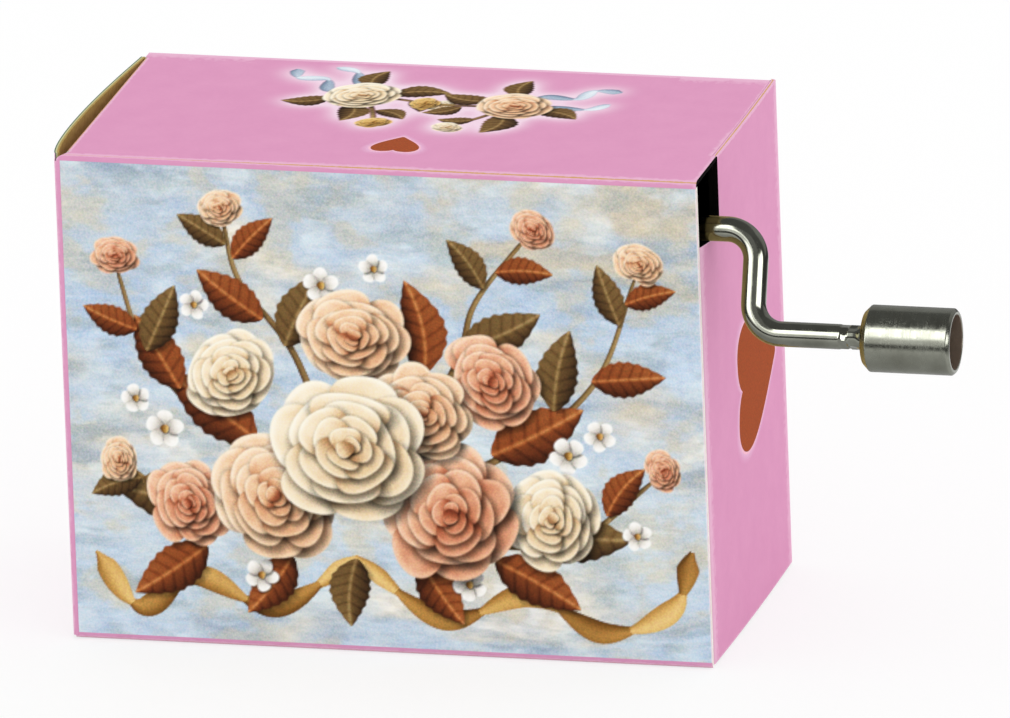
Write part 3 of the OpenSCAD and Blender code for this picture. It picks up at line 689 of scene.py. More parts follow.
def flapPlan(face):
    # plan of the outer face: the bowed arc, a quarter-round fold, then the straight lip; and its zones
    v = endFlap
    y = v["start"] + fineEnds(v["foldY"] - v["start"], v["step"])
    panel = np.stack([face(y), y], axis=1)
    turn = np.linspace(180.0, 90.0 - v["lipLean"], v["foldSteps"])[1:]
    fold = arcPoints((-halfWidth + board, v["foldY"]), board, turn)
    lean = math.radians(-v["lipLean"])
    reach = np.linspace(0.0, v["lipLength"] - board, v["lipSteps"])[1:, None]
    lip = fold[-1] + reach * np.array([math.cos(lean), math.sin(lean)])
    plan = np.concatenate([panel, fold, lip])
    lipPlace = np.concatenate([np.zeros(len(panel)), np.ones(len(fold) + len(lip))])
    toTip = np.concatenate([np.full(len(panel) + len(fold), np.inf), v["lipLength"] - board - reach[:, 0]])
    return plan, lipPlace, toTip


def flapSheet(plan, low, high, fold, spread):
    # the plan carried up in Z between a lower and an upper edge; wear counts from them and from the fold
    v = endFlap
    share = fineEnds(boxTop, v["upStep"])[:, None] / boxTop
    z = low + share * (high - low)
    run = runAlong(plan)
    toFold = np.abs(run - run[fold]) / spread
    edge = np.minimum(np.minimum(z - low, high - z), toFold) + v["cutWear"]
    return gridOf(plan[:, 0], plan[:, 1], z), edge


def lipEdges(lipPlace, toTip, lipTop):
    # lower and upper edge along the plan: the panel's, then the lip's, which ends in two round corners
    v = endFlap
    corner = v["lipCorner"]
    inset = corner - np.sqrt(np.maximum(corner ** 2 - np.maximum(corner - toTip, 0.0) ** 2, 0.0))
    low = v["edgeGap"] + lipPlace * (v["lipGap"] - v["edgeGap"]) + inset
    high = boxTop - v["edgeGap"] + lipPlace * (lipTop - boxTop + v["edgeGap"]) - inset
    return low, high


def turnPlan(points, degrees, about=(0.0, 0.0)):
    a = math.radians(degrees)
    spin = np.array([[math.cos(a), -math.sin(a)], [math.sin(a), math.cos(a)]])
    turned = points.copy()
    turned[..., :2] = (points[..., :2] - np.array(about)) @ spin.T + np.array(about)
    return turned


def leftFlapSheet():
    # the bowed panel, pulled in a little about its hinge
    v = endFlap
    plan, lipPlace, toTip = flapPlan(leftFace)
    low, high = lipEdges(lipPlace, toTip, boxTop - v["lipGap"])
    foldMiddle = int(np.argmax(lipPlace > 0.5)) + v["foldSteps"] // 2 - 1
    outer, edge = flapSheet(plan, low, high, foldMiddle, 1.0)
    outer = turnPlan(outer, -v["leftPull"], carton["hinge"])
    return boardSheet(outer, edge, carton["rub"], v["thickness"], aged=1.0)


leftFlap = makePiece("leftEndFlap", leftFlapSheet(), "left_flap", printedBoard)
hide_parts("left_end_flap")


def rightFlapParts():
    # the same flap turned round to the right end; a quarter-round fold joins it to the back panel, and the
    # part in front of the slot's inner edge is lower, with the slot's curve as its upper edge
    v = endFlap
    plan, _, toTip = flapPlan(rightFace)
    lipPlace = np.where(np.isfinite(toTip), 1.0, 0.0)
    low, high = lipEdges(lipPlace, toTip, slotZ - v["lipGap"])
    hinge = (-halfWidth + board, -halfDepth + board)
    hingeFold = arcPoints(hinge, board, np.linspace(270.0, 180.0, v["hingeSteps"]))
    join = np.array([[rightFace(-slotY), -slotY]])
    tall = np.concatenate([hingeFold, plan[plan[:, 1] < -slotY - v["apart"]], join])
    tallLow = np.full(len(tall), v["edgeGap"])
    tallHigh = np.full(len(tall), boxTop - v["rightTopGap"])
    outer, edge = flapSheet(tall, tallLow, tallHigh, v["hingeSteps"] // 2, v["rightHighlightSpread"])
    besideSlot = (np.arange(len(tall)) == len(tall) - 1) & (outer[..., 2] > slotZ)
    sheets = [(outer, edge, besideSlot, True)]

    corner = carton["slotCorner"]
    turn = np.linspace(0.0, quarterTurn, v["cornerSteps"])[1:]
    cornerY = -slotY + corner - corner * np.cos(turn)
    corners = np.concatenate([join, np.stack([rightFace(cornerY), cornerY], axis=1)])
    near = plan[:, 1] > cornerY[-1] + v["apart"]
    wide = np.concatenate([corners, plan[near]])
    wideLow = np.concatenate([np.full(len(corners), v["edgeGap"]), low[near]])
    lipHigh = np.where(lipPlace[near] > 0.0, high[near], np.inf)
    wideHigh = np.minimum(slotFloor(-wide[:, 1]), np.concatenate([np.full(len(corners), np.inf), lipHigh]))
    foldMiddle = len(corners) + int(np.argmax(lipPlace[near] > 0.5)) - v["foldSteps"] // 2
    outer, edge = flapSheet(wide, wideLow, wideHigh, foldMiddle, v["rightHighlightSpread"])
    sheets.append((outer, edge, outer[..., 2] > slotZ - v["shadedCut"], False))

    parts = []
    for outer, edge, shadedCut, inked in sheets:
        # painted shade: the inside darkens towards the top, and the cut edges by the slot are black
        dark = smoothStep(*carton["paintedShadeUp"], outer[..., 2])
        cutDark = np.where(shadedCut, 1.0, 0.0)
        outer = turnPlan(outer, 180.0)
        parts.append(boardSheet(outer, edge, 0.0, v["thickness"], dark=dark, cutDark=cutDark, inkedTop=inked))
    return joinParts(parts)


rightFlap = makePiece("rightEndFlap", rightFlapParts(), "case", printedBoard)
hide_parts("right_end_flap")


# Crease skin over the left hinge: follows the front panel, goes round the hinge's line, follows the flap

crease = {
    "proud": 0.012,
    "skin": 0.02,
    "reach": 0.24,
    "foot": 0.35,      # mm from the bottom
    "head": 0.75,      # mm from the top
    "steps": 12,
    "flatPoints": 6,
    "rows": 60,
    "wear": 0.1,
    "rub": 0.3,
}


def creaseSkin():
    # plan: along the front, a quarter circle about the hinge, along the bowed flap; carried up in Z
    v = crease
    hingeX, hingeY = carton["hinge"]
    radius = board / 2 + v["proud"]
    flat = v["flatPoints"]
    x = np.linspace(hingeX + v["reach"], hingeX, flat)
    front = np.stack([x, np.full(flat, hingeY - radius)], axis=1)
    bend = arcPoints(carton["hinge"], radius, np.linspace(270.0, 180.0, v["steps"] + 1)[1:])
    y = np.linspace(endFlap["start"], endFlap["start"] + v["reach"], flat)
    flap = np.stack([leftFace(y) - v["proud"], y], axis=1)
    plan = np.concatenate([front, bend, flap])
    z = np.linspace(v["foot"], boxTop - v["head"], v["rows"])[:, None]
    run = runAlong(plan)
    middle = run[len(front) + len(bend) // 2]
    edge = np.abs(run - middle)[None, :] + v["wear"]
    outer = gridOf(plan[:, 0], plan[:, 1], z)
    return boardSheet(outer, edge, v["rub"], thickness=v["skin"], sides=(0, 0), cutSide=0)


creasePiece = makePiece("leftCrease", creaseSkin(), None, printedBoard)
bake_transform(creasePiece)
print("carton done")


# Prints: colours painted on fine grids, laid on the board as thin skins

def cloudNoise(u, v, seed, octaves=4):
    # smooth random lattices added up, each twice as fine and half as strong as the one before
    size = 64
    shiftX, shiftY = 7.3, 3.1    # from one lattice to the next
    total = np.zeros(np.broadcast(u, v).shape)
    for octave in range(octaves):
        knots = np.random.default_rng(seed + octave).random((size, size))
        x = u * 2.0 ** octave + shiftX * octave
        y = v * 2.0 ** octave + shiftY * octave
        i = np.floor(x).astype(int)
        j = np.floor(y).astype(int)
        fx = smoothStep(0.0, 1.0, x - i)
        fy = smoothStep(0.0, 1.0, y - j)
        i0, i1, j0, j1 = i % size, (i + 1) % size, j % size, (j + 1) % size
        low = knots[i0, j0] * (1 - fx) + knots[i1, j0] * fx
        high = knots[i0, j1] * (1 - fx) + knots[i1, j1] * fx
        total += 0.5 ** octave * (low * (1 - fy) + high * fy)
    return total / (2.0 - 0.5 ** (octaves - 1))


def blendTone(tones, t):
    # a colour from a row of screen colours, dark to light
    place = np.clip(t, 0.0, 1.0) * (len(tones) - 1)
    tones = np.array(tones, float) / 255.0
    return np.stack([np.interp(place, np.arange(len(tones)), tones[:, k]) for k in range(3)], axis=-1)


def lay(canvas, mask, colour):
    # moves what is painted towards a colour by the mask
    canvas += mask[..., None] * (np.asarray(colour) - canvas)


class Canvas:
    def __init__(self, x, y):
        self.x = x
        self.y = y
        self.soft = 0.95 * (x[1] - x[0])    # mm over which a stroke's border fades
        self.paint = np.ones((len(x), len(y), 3))
        self.cover = np.zeros((len(x), len(y)))

    def window(self, x, y, reach):
        # the part of the canvas within reach of a point, with the distances from it
        i0, i1 = np.searchsorted(self.x, [x - reach, x + reach])
        j0, j1 = np.searchsorted(self.y, [y - reach, y + reach])
        dx, dy = np.meshgrid(self.x[i0:i1] - x, self.y[j0:j1] - y, indexing="ij")
        return self.paint[i0:i1, j0:j1], self.cover[i0:i1, j0:j1], dx, dy


def stamp(spot, mask, colour):
    # paints a window, and counts it as covered
    lay(spot[0], mask, colour)
    np.maximum(spot[1], mask, out=spot[1])


petal = {
    "reach": 1.6,                 # how far it may paint, in its lengths and widths
    "narrow": 0.12,               # towards its tip
    "frill": (3.0, 0.05),         # waves round its rim, and their height
    "shadowOff": (0.12, 0.16),    # right and down, in its lengths
    "shadowEnds": (1.3, 0.85),
    "shadow": 0.45,
    "base": 0.10,                 # tones: at its base, up to its tip, on the rim, in creases, at the sides
    "rise": 0.62,
    "riseEnds": (-0.95, 0.75),
    "rim": 0.2,
    "rimEnds": (0.72, 0.97),
    "rimFrom": (-0.1, 0.6),
    "crease": (7.0, 0.035),
    "creaseFrom": (-0.4, 0.6),
    "sides": 0.06,
}


def paintPetal(canvas, x, y, angle, out, long, wide, tones, light, wave, lean=(0.0, 1.0)):
    # an oval set off from the flower's centre; dark towards the centre, light at its rim, with a soft shadow;
    # lean presses the whole flower together along one way
    v = petal
    spot = canvas.window(x, y, out + v["reach"] * long + v["reach"] * wide)
    dx, dy = spot[2], spot[3]
    if not dx.size:
        return
    c, s = math.cos(angle), math.sin(angle)
    lc, ls = math.cos(lean[0]), math.sin(lean[0])

    def oval(bx, by):
        along = (bx * lc + by * ls) / lean[1]
        beside = by * lc - bx * ls
        ax, ay = along * lc - beside * ls, along * ls + beside * lc
        p = (ax * c + ay * s - out) / long
        q = (ay * c - ax * s) / wide * (1.0 - v["narrow"] * p)
        waves, height = v["frill"]
        frill = 1.0 + height * np.sin(waves * np.arctan2(q, p) + wave)
        return p, q, np.sqrt(p * p + q * q) / frill

    offX, offY = v["shadowOff"]
    shade = oval(dx - offX * long, dy + offY * long)[2]
    spot[0][...] *= 1.0 - v["shadow"] * (smoothStep(*v["shadowEnds"], shade) * spot[1])[..., None]
    p, q, r = oval(dx, dy)
    soft = canvas.soft / min(long, wide)
    mask = smoothStep(1.0 + soft, 1.0 - soft, r)
    tone = v["base"] + v["rise"] * smoothStep(*v["riseEnds"], p)
    tone = tone + v["rim"] * smoothStep(*v["rimEnds"], r) * smoothStep(*v["rimFrom"], p)
    creases, depth = v["crease"]
    tone = tone + depth * np.sin(creases * q + wave) * smoothStep(*v["creaseFrom"], p) - v["sides"] * q * q
    stamp(spot, mask, blendTone(tones, tone * light))


rose = {
    # rings of petals: how many, how far out, how long and how wide, as shares of the rose
    "rings": ((7, 0.60, 0.40, 0.46), (6, 0.46, 0.36, 0.42), (5, 0.33, 0.31, 0.36), (4, 0.21, 0.25, 0.28),
              (3, 0.11, 0.18, 0.20), (2, 0.05, 0.11, 0.12)),
    "twist": 0.55,           # from ring to ring
    "angleSpread": 0.12,
    "shapeSpread": 0.06,
    "outSpread": 0.05,
    "light": (0.16, 2.2),    # how much lighter its lit side is, and the way there
    "ringDark": 0.035,       # how much darker each ring is
}


def paintRose(canvas, x, y, size, tones, seed, lean=(0.0, 1.0)):
    # rings of petals from the outside in, each ring's petals laid in random order
    v = rose
    rng = np.random.default_rng(seed)
    start = rng.random() * randomTurn
    lit, litWay = v["light"]
    for level, (count, out, long, wide) in enumerate(v["rings"]):
        turns = start + level * v["twist"] + np.arange(count) * fullTurn / count
        turns = turns + rng.normal(0.0, v["angleSpread"], count)
        for turn in rng.permutation(turns):
            light = 1.0 + lit * math.cos(turn - litWay) - v["ringDark"] * level
            stretch = rng.normal(1.0, v["shapeSpread"])
            off = out * size * rng.normal(1.0, v["outSpread"])
            wave = rng.random() * randomTurn
            longer, narrower = long * size * stretch, wide * size / stretch
            paintPetal(canvas, x, y, turn, off, longer, narrower, tones, light, wave, lean)


blossom = {"petals": 5, "out": 0.55, "long": 0.46, "wide": 0.4, "heart": 0.22, "light": 1.1}


def paintBlossom(canvas, x, y, size, tones, heartTones, seed):
    # one ring of petals round a small heart
    v = blossom
    rng = np.random.default_rng(seed)
    out, long, wide, middle = (v[key] * size for key in ("out", "long", "wide", "heart"))
    for turn in rng.random() * randomTurn + np.arange(v["petals"]) * fullTurn / v["petals"]:
        paintPetal(canvas, x, y, turn, out, long, wide, tones, v["light"], rng.random() * randomTurn)
    paintPetal(canvas, x, y, 0.0, 0.0, middle, middle, heartTones, 1.0, 0.0)


leaf = {
    "reach": 1.15,                # how far it may paint, in its lengths
    "shape": (0.8, 0.9),          # powers that set where it is widest and how blunt it is
    "teeth": (8.0, 0.045),
    "shadowOff": (0.25, 0.3),     # mm right and down
    "shadowEnds": (0.5, -0.4),
    "shadowSpan": (0.02, 0.98),   # part of its length that throws it
    "shadow": 0.35,
    "least": 0.05,                # mm; keeps its tip from dividing by nothing
    "middle": 0.42,               # tones: its middle, one half to the other, up to its tip, at the sides
    "halves": 0.22,
    "tip": 0.12,
    "sides": 0.2,
    "veins": (7.0, 0.9, 10),      # how many, how slanted, how thin
    "veinDark": 0.14,
    "veinEnd": 0.9,
    "rib": (0.07, 0.05),          # its width as a share of the leaf's, and mm more
    "ribLight": 0.34,
}


def paintLeaf(canvas, x, y, angle, long, wide, tones, bend=0.15):
    # a pointed oval from its stalk, with toothed sides, a midrib and slanting veins
    look = leaf
    spot = canvas.window(x, y, look["reach"] * long)
    dx, dy = spot[2], spot[3]
    if not dx.size:
        return
    c, s = math.cos(angle), math.sin(angle)

    def leafSide(ax, ay):
        u = (ax * c + ay * s) / long
        v = (ay * c - ax * s) - bend * long * 4.0 * u * (1.0 - u)
        widest, blunt = look["shape"]
        body = np.sin(math.pi * np.clip(u, 0.0, 1.0) ** widest) ** blunt
        teeth, height = look["teeth"]
        return u, v, wide * body * (1.0 + height * np.sin(fullTurn * teeth * u))

    offX, offY = look["shadowOff"]
    u, v, half = leafSide(dx - offX, dy + offY)
    first, last = look["shadowSpan"]
    fall = smoothStep(*look["shadowEnds"], np.abs(v) - half) * (u > first) * (u < last) * spot[1]
    spot[0][...] *= 1.0 - look["shadow"] * fall[..., None]
    u, v, half = leafSide(dx, dy)
    mask = smoothStep(canvas.soft, -canvas.soft, np.abs(v) - half) * (u > 0.0) * (u < 1.0)
    across = v / np.maximum(half, look["least"])
    tone = look["middle"] + look["halves"] * across * math.copysign(1.0, c) + look["tip"] * u
    tone = tone - look["sides"] * np.abs(across) ** 3
    count, slant, thin = look["veins"]
    veins = np.abs(np.sin(math.pi * (u * count - slant * np.abs(v) / wide))) ** thin
    tone = tone - look["veinDark"] * veins * (np.abs(across) < look["veinEnd"])
    ribShare, ribLeast = look["rib"]
    tone = tone + look["ribLight"] * np.exp(-(v / (ribShare * wide + ribLeast)) ** 2)
    stamp(spot, mask, blendTone(tones, tone))


def curvePoints(knots, count):
    # a smooth curve through the knots: cubic pieces, with the slope at a knot taken from its neighbours
    knots = np.array(knots, float)
    padded = np.concatenate([[2 * knots[0] - knots[1]], knots, [2 * knots[-1] - knots[-2]]])
    t = np.linspace(0.0, len(knots) - 1.0001, count)
    i = t.astype(int)
    f = (t - i)[:, None]
    a, b, c, d = padded[i], padded[i + 1], padded[i + 2], padded[i + 3]
    square = (2 * a - 5 * b + 4 * c - d) * f ** 2
    cube = (3 * b - a - 3 * c + d) * f ** 3
    return 0.5 * (2 * b + (c - a) * f + square + cube)


band = {
    "strokes": 40,              # for each knot
    "roll": (0.3, 0.7),         # share of the width that stays in a twist, and that comes and goes
    "ends": (0.25, 14.0),       # share of the width at an end, and how fast it grows from there
    "spare": (1.2, 0.3),        # how far a stroke may paint past its width: steps, and mm
    "stroke": (1.1, 0.05),      # half its length: steps, and mm
    "front": 0.62,              # tones: its two faces, round its middle, along it
    "back": 0.3,
    "round": (0.3, 1.4, 0.5),
    "dark": 0.16,
    "ripple": (0.1, 9.0, 1.0),
}


def paintBand(canvas, knots, half, tones, twist=0.0, taper=0.0):
    # a ribbon or stem: short strokes along a curve; a twist narrows the band and shows its darker back
    v = band
    line = curvePoints(knots, v["strokes"] * len(knots))
    way = np.gradient(line, axis=0)
    angles = np.arctan2(way[:, 1], way[:, 0])
    steps = np.linalg.norm(way, axis=1)
    share = np.linspace(0.0, 1.0, len(line))
    stays, rolls = v["roll"]
    least, growth = v["ends"]
    height, bulge, shift = v["round"]
    ripple, waves, phase = v["ripple"]
    for (x, y), angle, step, t in zip(line, angles, steps, share):
        roll = math.cos(fullTurn * twist * t)
        ending = min(1.0, least + growth * min(t, 1.0 - t))
        width = half * (stays + rolls * abs(roll)) * (1.0 - taper * t) * ending
        spot = canvas.window(x, y, width + v["spare"][0] * step + v["spare"][1])
        if not spot[2].size:
            continue
        c, s = math.cos(angle), math.sin(angle)
        along = spot[2] * c + spot[3] * s
        across = spot[3] * c - spot[2] * s
        inStroke = np.abs(along) < v["stroke"][0] * step + v["stroke"][1]
        mask = smoothStep(canvas.soft, -canvas.soft, np.abs(across) - width) * inStroke
        face = v["front"] if roll > 0 else v["back"]
        tone = face + height * np.cos(bulge * across / width + shift) - v["dark"]
        stamp(spot, mask, blendTone(tones, tone + ripple * math.sin(waves * t + phase)))


palettes = {
    "peach": [(120, 58, 36), (176, 102, 66), (226, 168, 124), (244, 208, 170), (253, 236, 212)],
    "cream": [(142, 96, 58), (196, 150, 104), (234, 204, 160), (248, 232, 202), (254, 248, 232)],
    "coral": [(104, 44, 28), (160, 80, 52), (210, 130, 94), (238, 184, 148), (250, 220, 192)],
    "rust": [(48, 24, 14), (92, 44, 24), (142, 72, 36), (186, 112, 60), (222, 164, 104)],
    "bark": [(40, 28, 18), (76, 54, 32), (112, 84, 48), (150, 120, 74), (190, 164, 112)],
    "gold": [(92, 58, 24), (142, 96, 42), (190, 140, 70), (226, 184, 108), (248, 222, 160)],
    "blue": [(110, 128, 150), (150, 168, 188), (190, 204, 218), (220, 230, 238), (244, 248, 250)],
    "white": [(160, 150, 140), (206, 200, 190), (236, 232, 224), (250, 248, 244), (255, 255, 252)],
}


sky = {
    "bands": ((200, 217, 232), (206, 219, 229), (190, 208, 227), (198, 209, 218)),    # from the foot up
    "height": 46.0,
    "bandWarp": 0.35,
    # noises: mm of a cell across and up, shift across, share of the warp across and up, seed, octaves
    "warp": (16.0, 8.0, 0.0, 0.0, 0.0, 11, 4),
    "bank": (15.0, 5.0, 0.8, 0.0, 1.6, 21, 6),
    "streak": (19.0, 2.3, 5.0, 0.0, 2.5, 33, 5),
    "warm": (6.0, 3.6, 0.0, 0.0, 1.0, 47, 6),
    "patch": (3.4, 2.2, 0.0, 0.6, 0.0, 83, 5),
    "dusk": (4.6, 2.0, 0.0, 0.0, 1.0, 97, 5),
    "stain": (2.4, 1.5, 0.0, 0.0, 0.0, 59, 4),
    "bristle": (1.3, 0.3, 0.0, 0.0, 0.8, 55, 3),
    # noise, strength, its values where the wash begins and where it is full, colour
    "washes": (
        ("bank", 0.7, 0.48, 0.68, (224, 216, 200)),
        ("bank", 0.8, 0.6, 0.8, (248, 247, 243)),
        ("streak", 0.6, 0.54, 0.8, (142, 159, 176)),
        ("warm", 0.6, 0.52, 0.76, (208, 191, 160)),
        ("patch", 0.5, 0.52, 0.7, (212, 203, 180)),
        ("patch", 0.45, 0.46, 0.3, (222, 235, 243)),
        ("dusk", 0.4, 0.56, 0.76, (160, 174, 176)),
    ),
    "cornerAcross": (16.0, 56.0),     # mm; the warm wash gathers in the upper right
    "cornerUp": (14.0, 42.0),
    "cornerGain": (0.78, 0.36),
    "stainTint": (0.16, 0.11, 0.02),
    "bristleTint": 0.1,
}


def paintSky(canvas):
    # a pale sky in bands, with banks of cream cloud, grey streaks, ochre stains and brush marks
    v = sky
    x, y = np.meshgrid(canvas.x, canvas.y, indexing="ij")
    warp = 0.0

    def noise(name):
        wide, high, shift, warpAcross, warpUp, seed, octaves = v[name]
        return cloudNoise(x / wide + shift + warpAcross * warp, y / high + warpUp * warp, seed, octaves)

    warp = noise("warp") - 0.5
    paint = blendTone(v["bands"], y / v["height"] + v["bandWarp"] * warp)
    least, more = v["cornerGain"]
    corner = least + more * (smoothStep(*v["cornerAcross"], x) * smoothStep(*v["cornerUp"], y))
    noises = {name: noise(name) for name in ("bank", "streak", "warm", "patch", "dusk")}
    noises["warm"] = noises["warm"] * corner
    for name, strength, low, high, colour in v["washes"]:
        lay(paint, strength * smoothStep(low, high, noises[name]), np.array(colour) / 255)
    stain = (noise("stain") - 0.5)[..., None]
    bristle = (noise("bristle") - 0.5)[..., None]
    tint = stain * np.array(v["stainTint"]) + v["bristleTint"] * bristle
    canvas.paint[...] = np.clip(paint * (1.0 + tint), 0.0, 1.0)


# places in mm from the front panel's lower left corner
bouquet = {
    # knots, and turns along its length
    "ribbons": (
        ([(27, 9), (19, 4.0), (12, 6.6), (6.5, 3.4), (2.6, 8.4)], 2.2),
        ([(27, 9), (35, 3.6), (43, 6.2), (50, 3.0), (56.5, 5.6), (58.4, 11.0)], 2.6),
    ),
    "ribbonHalf": 1.05,
    "stems": (
        [(24, 14), (14, 21), (8, 28), (5.4, 36)], [(30, 14), (42, 20), (50, 27), (54.2, 37.5)],
        [(26, 16), (22, 28), (17, 35), (15.6, 41)], [(31, 17), (37, 28), (39, 34), (44, 40.5)],
        [(22, 12), (12, 13), (5.6, 17)], [(36, 11), (47, 11.5), (55.4, 18)],
    ),
    "stemHalf": 0.36,
    "stemTaper": 0.6,
    # stalk, angle, length, half width and tones
    "leaves": (
        (18, 20, 2.5, 10.0, 2.5, "rust"), (14, 14, 3.05, 9.5, 2.4, "bark"),
        (11, 24.5, 2.1, 8.0, 2.0, "rust"), (8, 28, 1.15, 7.0, 1.7, "bark"),
        (7.2, 30, 2.75, 5.4, 1.4, "rust"), (21, 29, 1.1, 8.0, 2.0, "bark"),
        (19, 31.5, 2.5, 7.5, 1.9, "rust"), (34, 27, 1.75, 9.0, 2.2, "rust"),
        (37.4, 29.5, 0.45, 8.5, 2.0, "bark"), (40, 19.5, 0.5, 10.0, 2.5, "rust"),
        (46, 24, 1.35, 8.0, 1.9, "bark"), (49.6, 27, 0.1, 7.0, 1.7, "rust"),
        (43, 12.5, -0.05, 10.0, 2.4, "bark"), (40, 9.4, -0.5, 9.0, 2.2, "rust"),
        (13, 9.6, 3.75, 8.5, 2.1, "rust"), (27, 9, 4.6, 6.6, 1.9, "bark"),
        (21, 9, 4.05, 7.2, 1.9, "rust"), (33, 9, 5.3, 7.0, 1.9, "rust"),
        (52.4, 32.5, 1.9, 6.0, 1.4, "bark"), (16.4, 37.2, 0.8, 5.6, 1.3, "rust"),
        (7, 15.8, 3.5, 5.0, 1.3, "bark"), (50.6, 14.2, 0.9, 6.0, 1.5, "rust"),
        (39.8, 35.4, 2.2, 5.6, 1.4, "bark"), (41, 37, 0.0, 5.4, 1.3, "rust"),
        (53, 34.5, 0.3, 5.0, 1.2, "rust"), (15.8, 38.5, 2.6, 5.2, 1.3, "bark"),
    ),
    "leafSeed": 71,
    "leafBend": 0.06,
    # middle and size
    "blossoms": (
        (9.4, 20.6, 1.8), (6.8, 23.4, 1.4), (47.2, 19.8, 1.8), (50.2, 21.8, 1.5), (24.6, 35.0, 1.7),
        (29.6, 36.8, 1.4), (18, 7.0, 1.6), (37.5, 7.0, 1.6), (53.4, 12.4, 1.4), (12.6, 32.6, 1.4),
    ),
    # middle, size, tones, and the way and the share by which it is pressed
    "roses": (
        (5.4, 37.0, 2.3, "coral", 1.6, 0.8), (54.4, 38.4, 2.4, "peach", 1.2, 0.8),
        (15.4, 42.0, 2.2, "peach", 1.9, 0.8), (44.6, 41.2, 2.3, "coral", 1.0, 0.8),
        (5.0, 17.4, 2.2, "peach", 0.0, 0.8), (56.0, 18.8, 2.1, "coral", 0.3, 0.8),
        (11.4, 13.6, 4.4, "coral", 0.4, 0.85), (45.4, 13.6, 5.0, "cream", 2.8, 0.88),
        (15.8, 26.2, 4.6, "cream", 2.2, 0.86), (40.2, 26.6, 4.8, "coral", 0.8, 0.86),
        (27.4, 30.2, 5.4, "peach", 1.5, 0.86), (19.6, 14.6, 6.4, "peach", 0.6, 0.92),
        (36.0, 13.8, 6.6, "coral", 2.6, 0.92), (33.6, 23.2, 5.0, "peach", 1.1, 0.9),
        (26.6, 19.6, 7.4, "cream", 1.5, 0.95),
    ),
}


def paintBouquet(canvas):
    # ribbon behind, then stems, leaves, small flowers and the large roses in front
    v = bouquet
    p = palettes
    for knots, twist in v["ribbons"]:
        paintBand(canvas, knots, v["ribbonHalf"], p["gold"], twist=twist)
    for knots in v["stems"]:
        paintBand(canvas, knots, v["stemHalf"], p["bark"], taper=v["stemTaper"])
    rng = np.random.default_rng(v["leafSeed"])
    for x, y, angle, long, wide, tones in v["leaves"]:
        paintLeaf(canvas, x, y, angle, long, wide, p[tones], bend=rng.normal(0.0, v["leafBend"]))
    # each flower's place gives its seed
    for x, y, size in v["blossoms"]:
        paintBlossom(canvas, x, y, size, p["white"], p["gold"], int(10 * x))
    for x, y, size, tones, way, press in v["roses"]:
        paintRose(canvas, x, y, size, p[tones], int(13 * x), lean=(way, press))


# places along its stem and beside it, in sizes of its rose
sprig = {
    # knots, half width and turns
    "ribbons": (
        (((0.2, 0.0), (0.9, 0.25), (1.5, -0.25), (2.1, 0.1), (2.6, -0.3)), 0.17, 1.6),
        (((0.2, 0.0), (0.8, -0.6), (1.4, -1.1), (2.0, -1.0)), 0.15, 1.2),
    ),
    "stems": (((0, 0), (-0.9, 0.5), (-1.7, 1.15)), ((0, 0), (-1.0, -0.4), (-1.9, -0.65))),
    "stemHalf": 0.06,
    # stalk, angle and length
    "leaves": ((-0.3, 0.6, 2.2, 1.3), (-0.5, -0.5, 3.9, 1.4), (0.4, 0.6, 0.9, 1.2),
               (0.3, -0.6, 5.2, 1.2), (-1.1, 0.55, 3.1, 1.0), (-1.2, -0.5, 2.6, 0.9)),
    "leafWidth": 0.3,
    # middle, size, tones, seed, and the way and the share by which it is pressed
    "buds": ((-1.75, 1.2, 0.45, "gold", 3, 2.6, 0.8), (-2.0, -0.7, 0.42, "cream", 4, 3.5, 0.8)),
    "roseSeed": 5,
    "rosePress": 0.92,
}


def paintSprig(canvas, x, y, size, turn, tones):
    # one small rose with two buds, leaves and a pale ribbon; turn is the way its stem points
    v = sprig
    p = palettes

    def spot(along, beside):
        c, s = math.cos(turn), math.sin(turn)
        return x + size * (along * c - beside * s), y + size * (along * s + beside * c)

    for knots, half, twist in v["ribbons"]:
        paintBand(canvas, [spot(*knot) for knot in knots], half * size, p["blue"], twist=twist)
    for knots in v["stems"]:
        paintBand(canvas, [spot(*knot) for knot in knots], v["stemHalf"] * size, p["bark"])
    for along, beside, angle, long in v["leaves"]:
        wide = v["leafWidth"] * long * size
        paintLeaf(canvas, *spot(along, beside), turn + angle, long * size, wide, p["bark"])
    for along, beside, share, budTones, seed, way, press in v["buds"]:
        paintRose(canvas, *spot(along, beside), share * size, p[budTones], seed, lean=(turn + way, press))
    paintRose(canvas, *spot(0.0, 0.0), size, p[tones], v["roseSeed"], lean=(turn, v["rosePress"]))


prints = {
    "proud": 0.012,
    "skin": 0.03,
    "dip": 0.004,             # how far a clear border sinks into the board
    "rub": 0.1,
    "frontStep": 0.119,
    "frontBorder": 0.55,
    "frontGaps": (0.02, 0.1, 0.15),          # to the right end, and more than the border below and above
    "white": 0.97,
    "whiteEnd": 0.1,          # mm unprinted along the right end
    "endWear": 0.15,
    "topStep": 0.12,
    "topArea": (-19.0, 21.5, -9.5, 14.5),    # x and y of the painted part
    "sprigs": ((-6.4, 5.2, 3.9, 2.55, "cream"), (8.2, 4.0, 3.9, 0.65, "peach")),
    "glow": (246, 226, 238),
    "glowReach": 0.95,        # mm
    "glowGain": 2.4,
    "glowShare": 0.8,
    "fade": (0.1, 1.2),       # mm from the top print's border where it fades, and where it sinks in
    "sink": (0.0, 0.6),
}


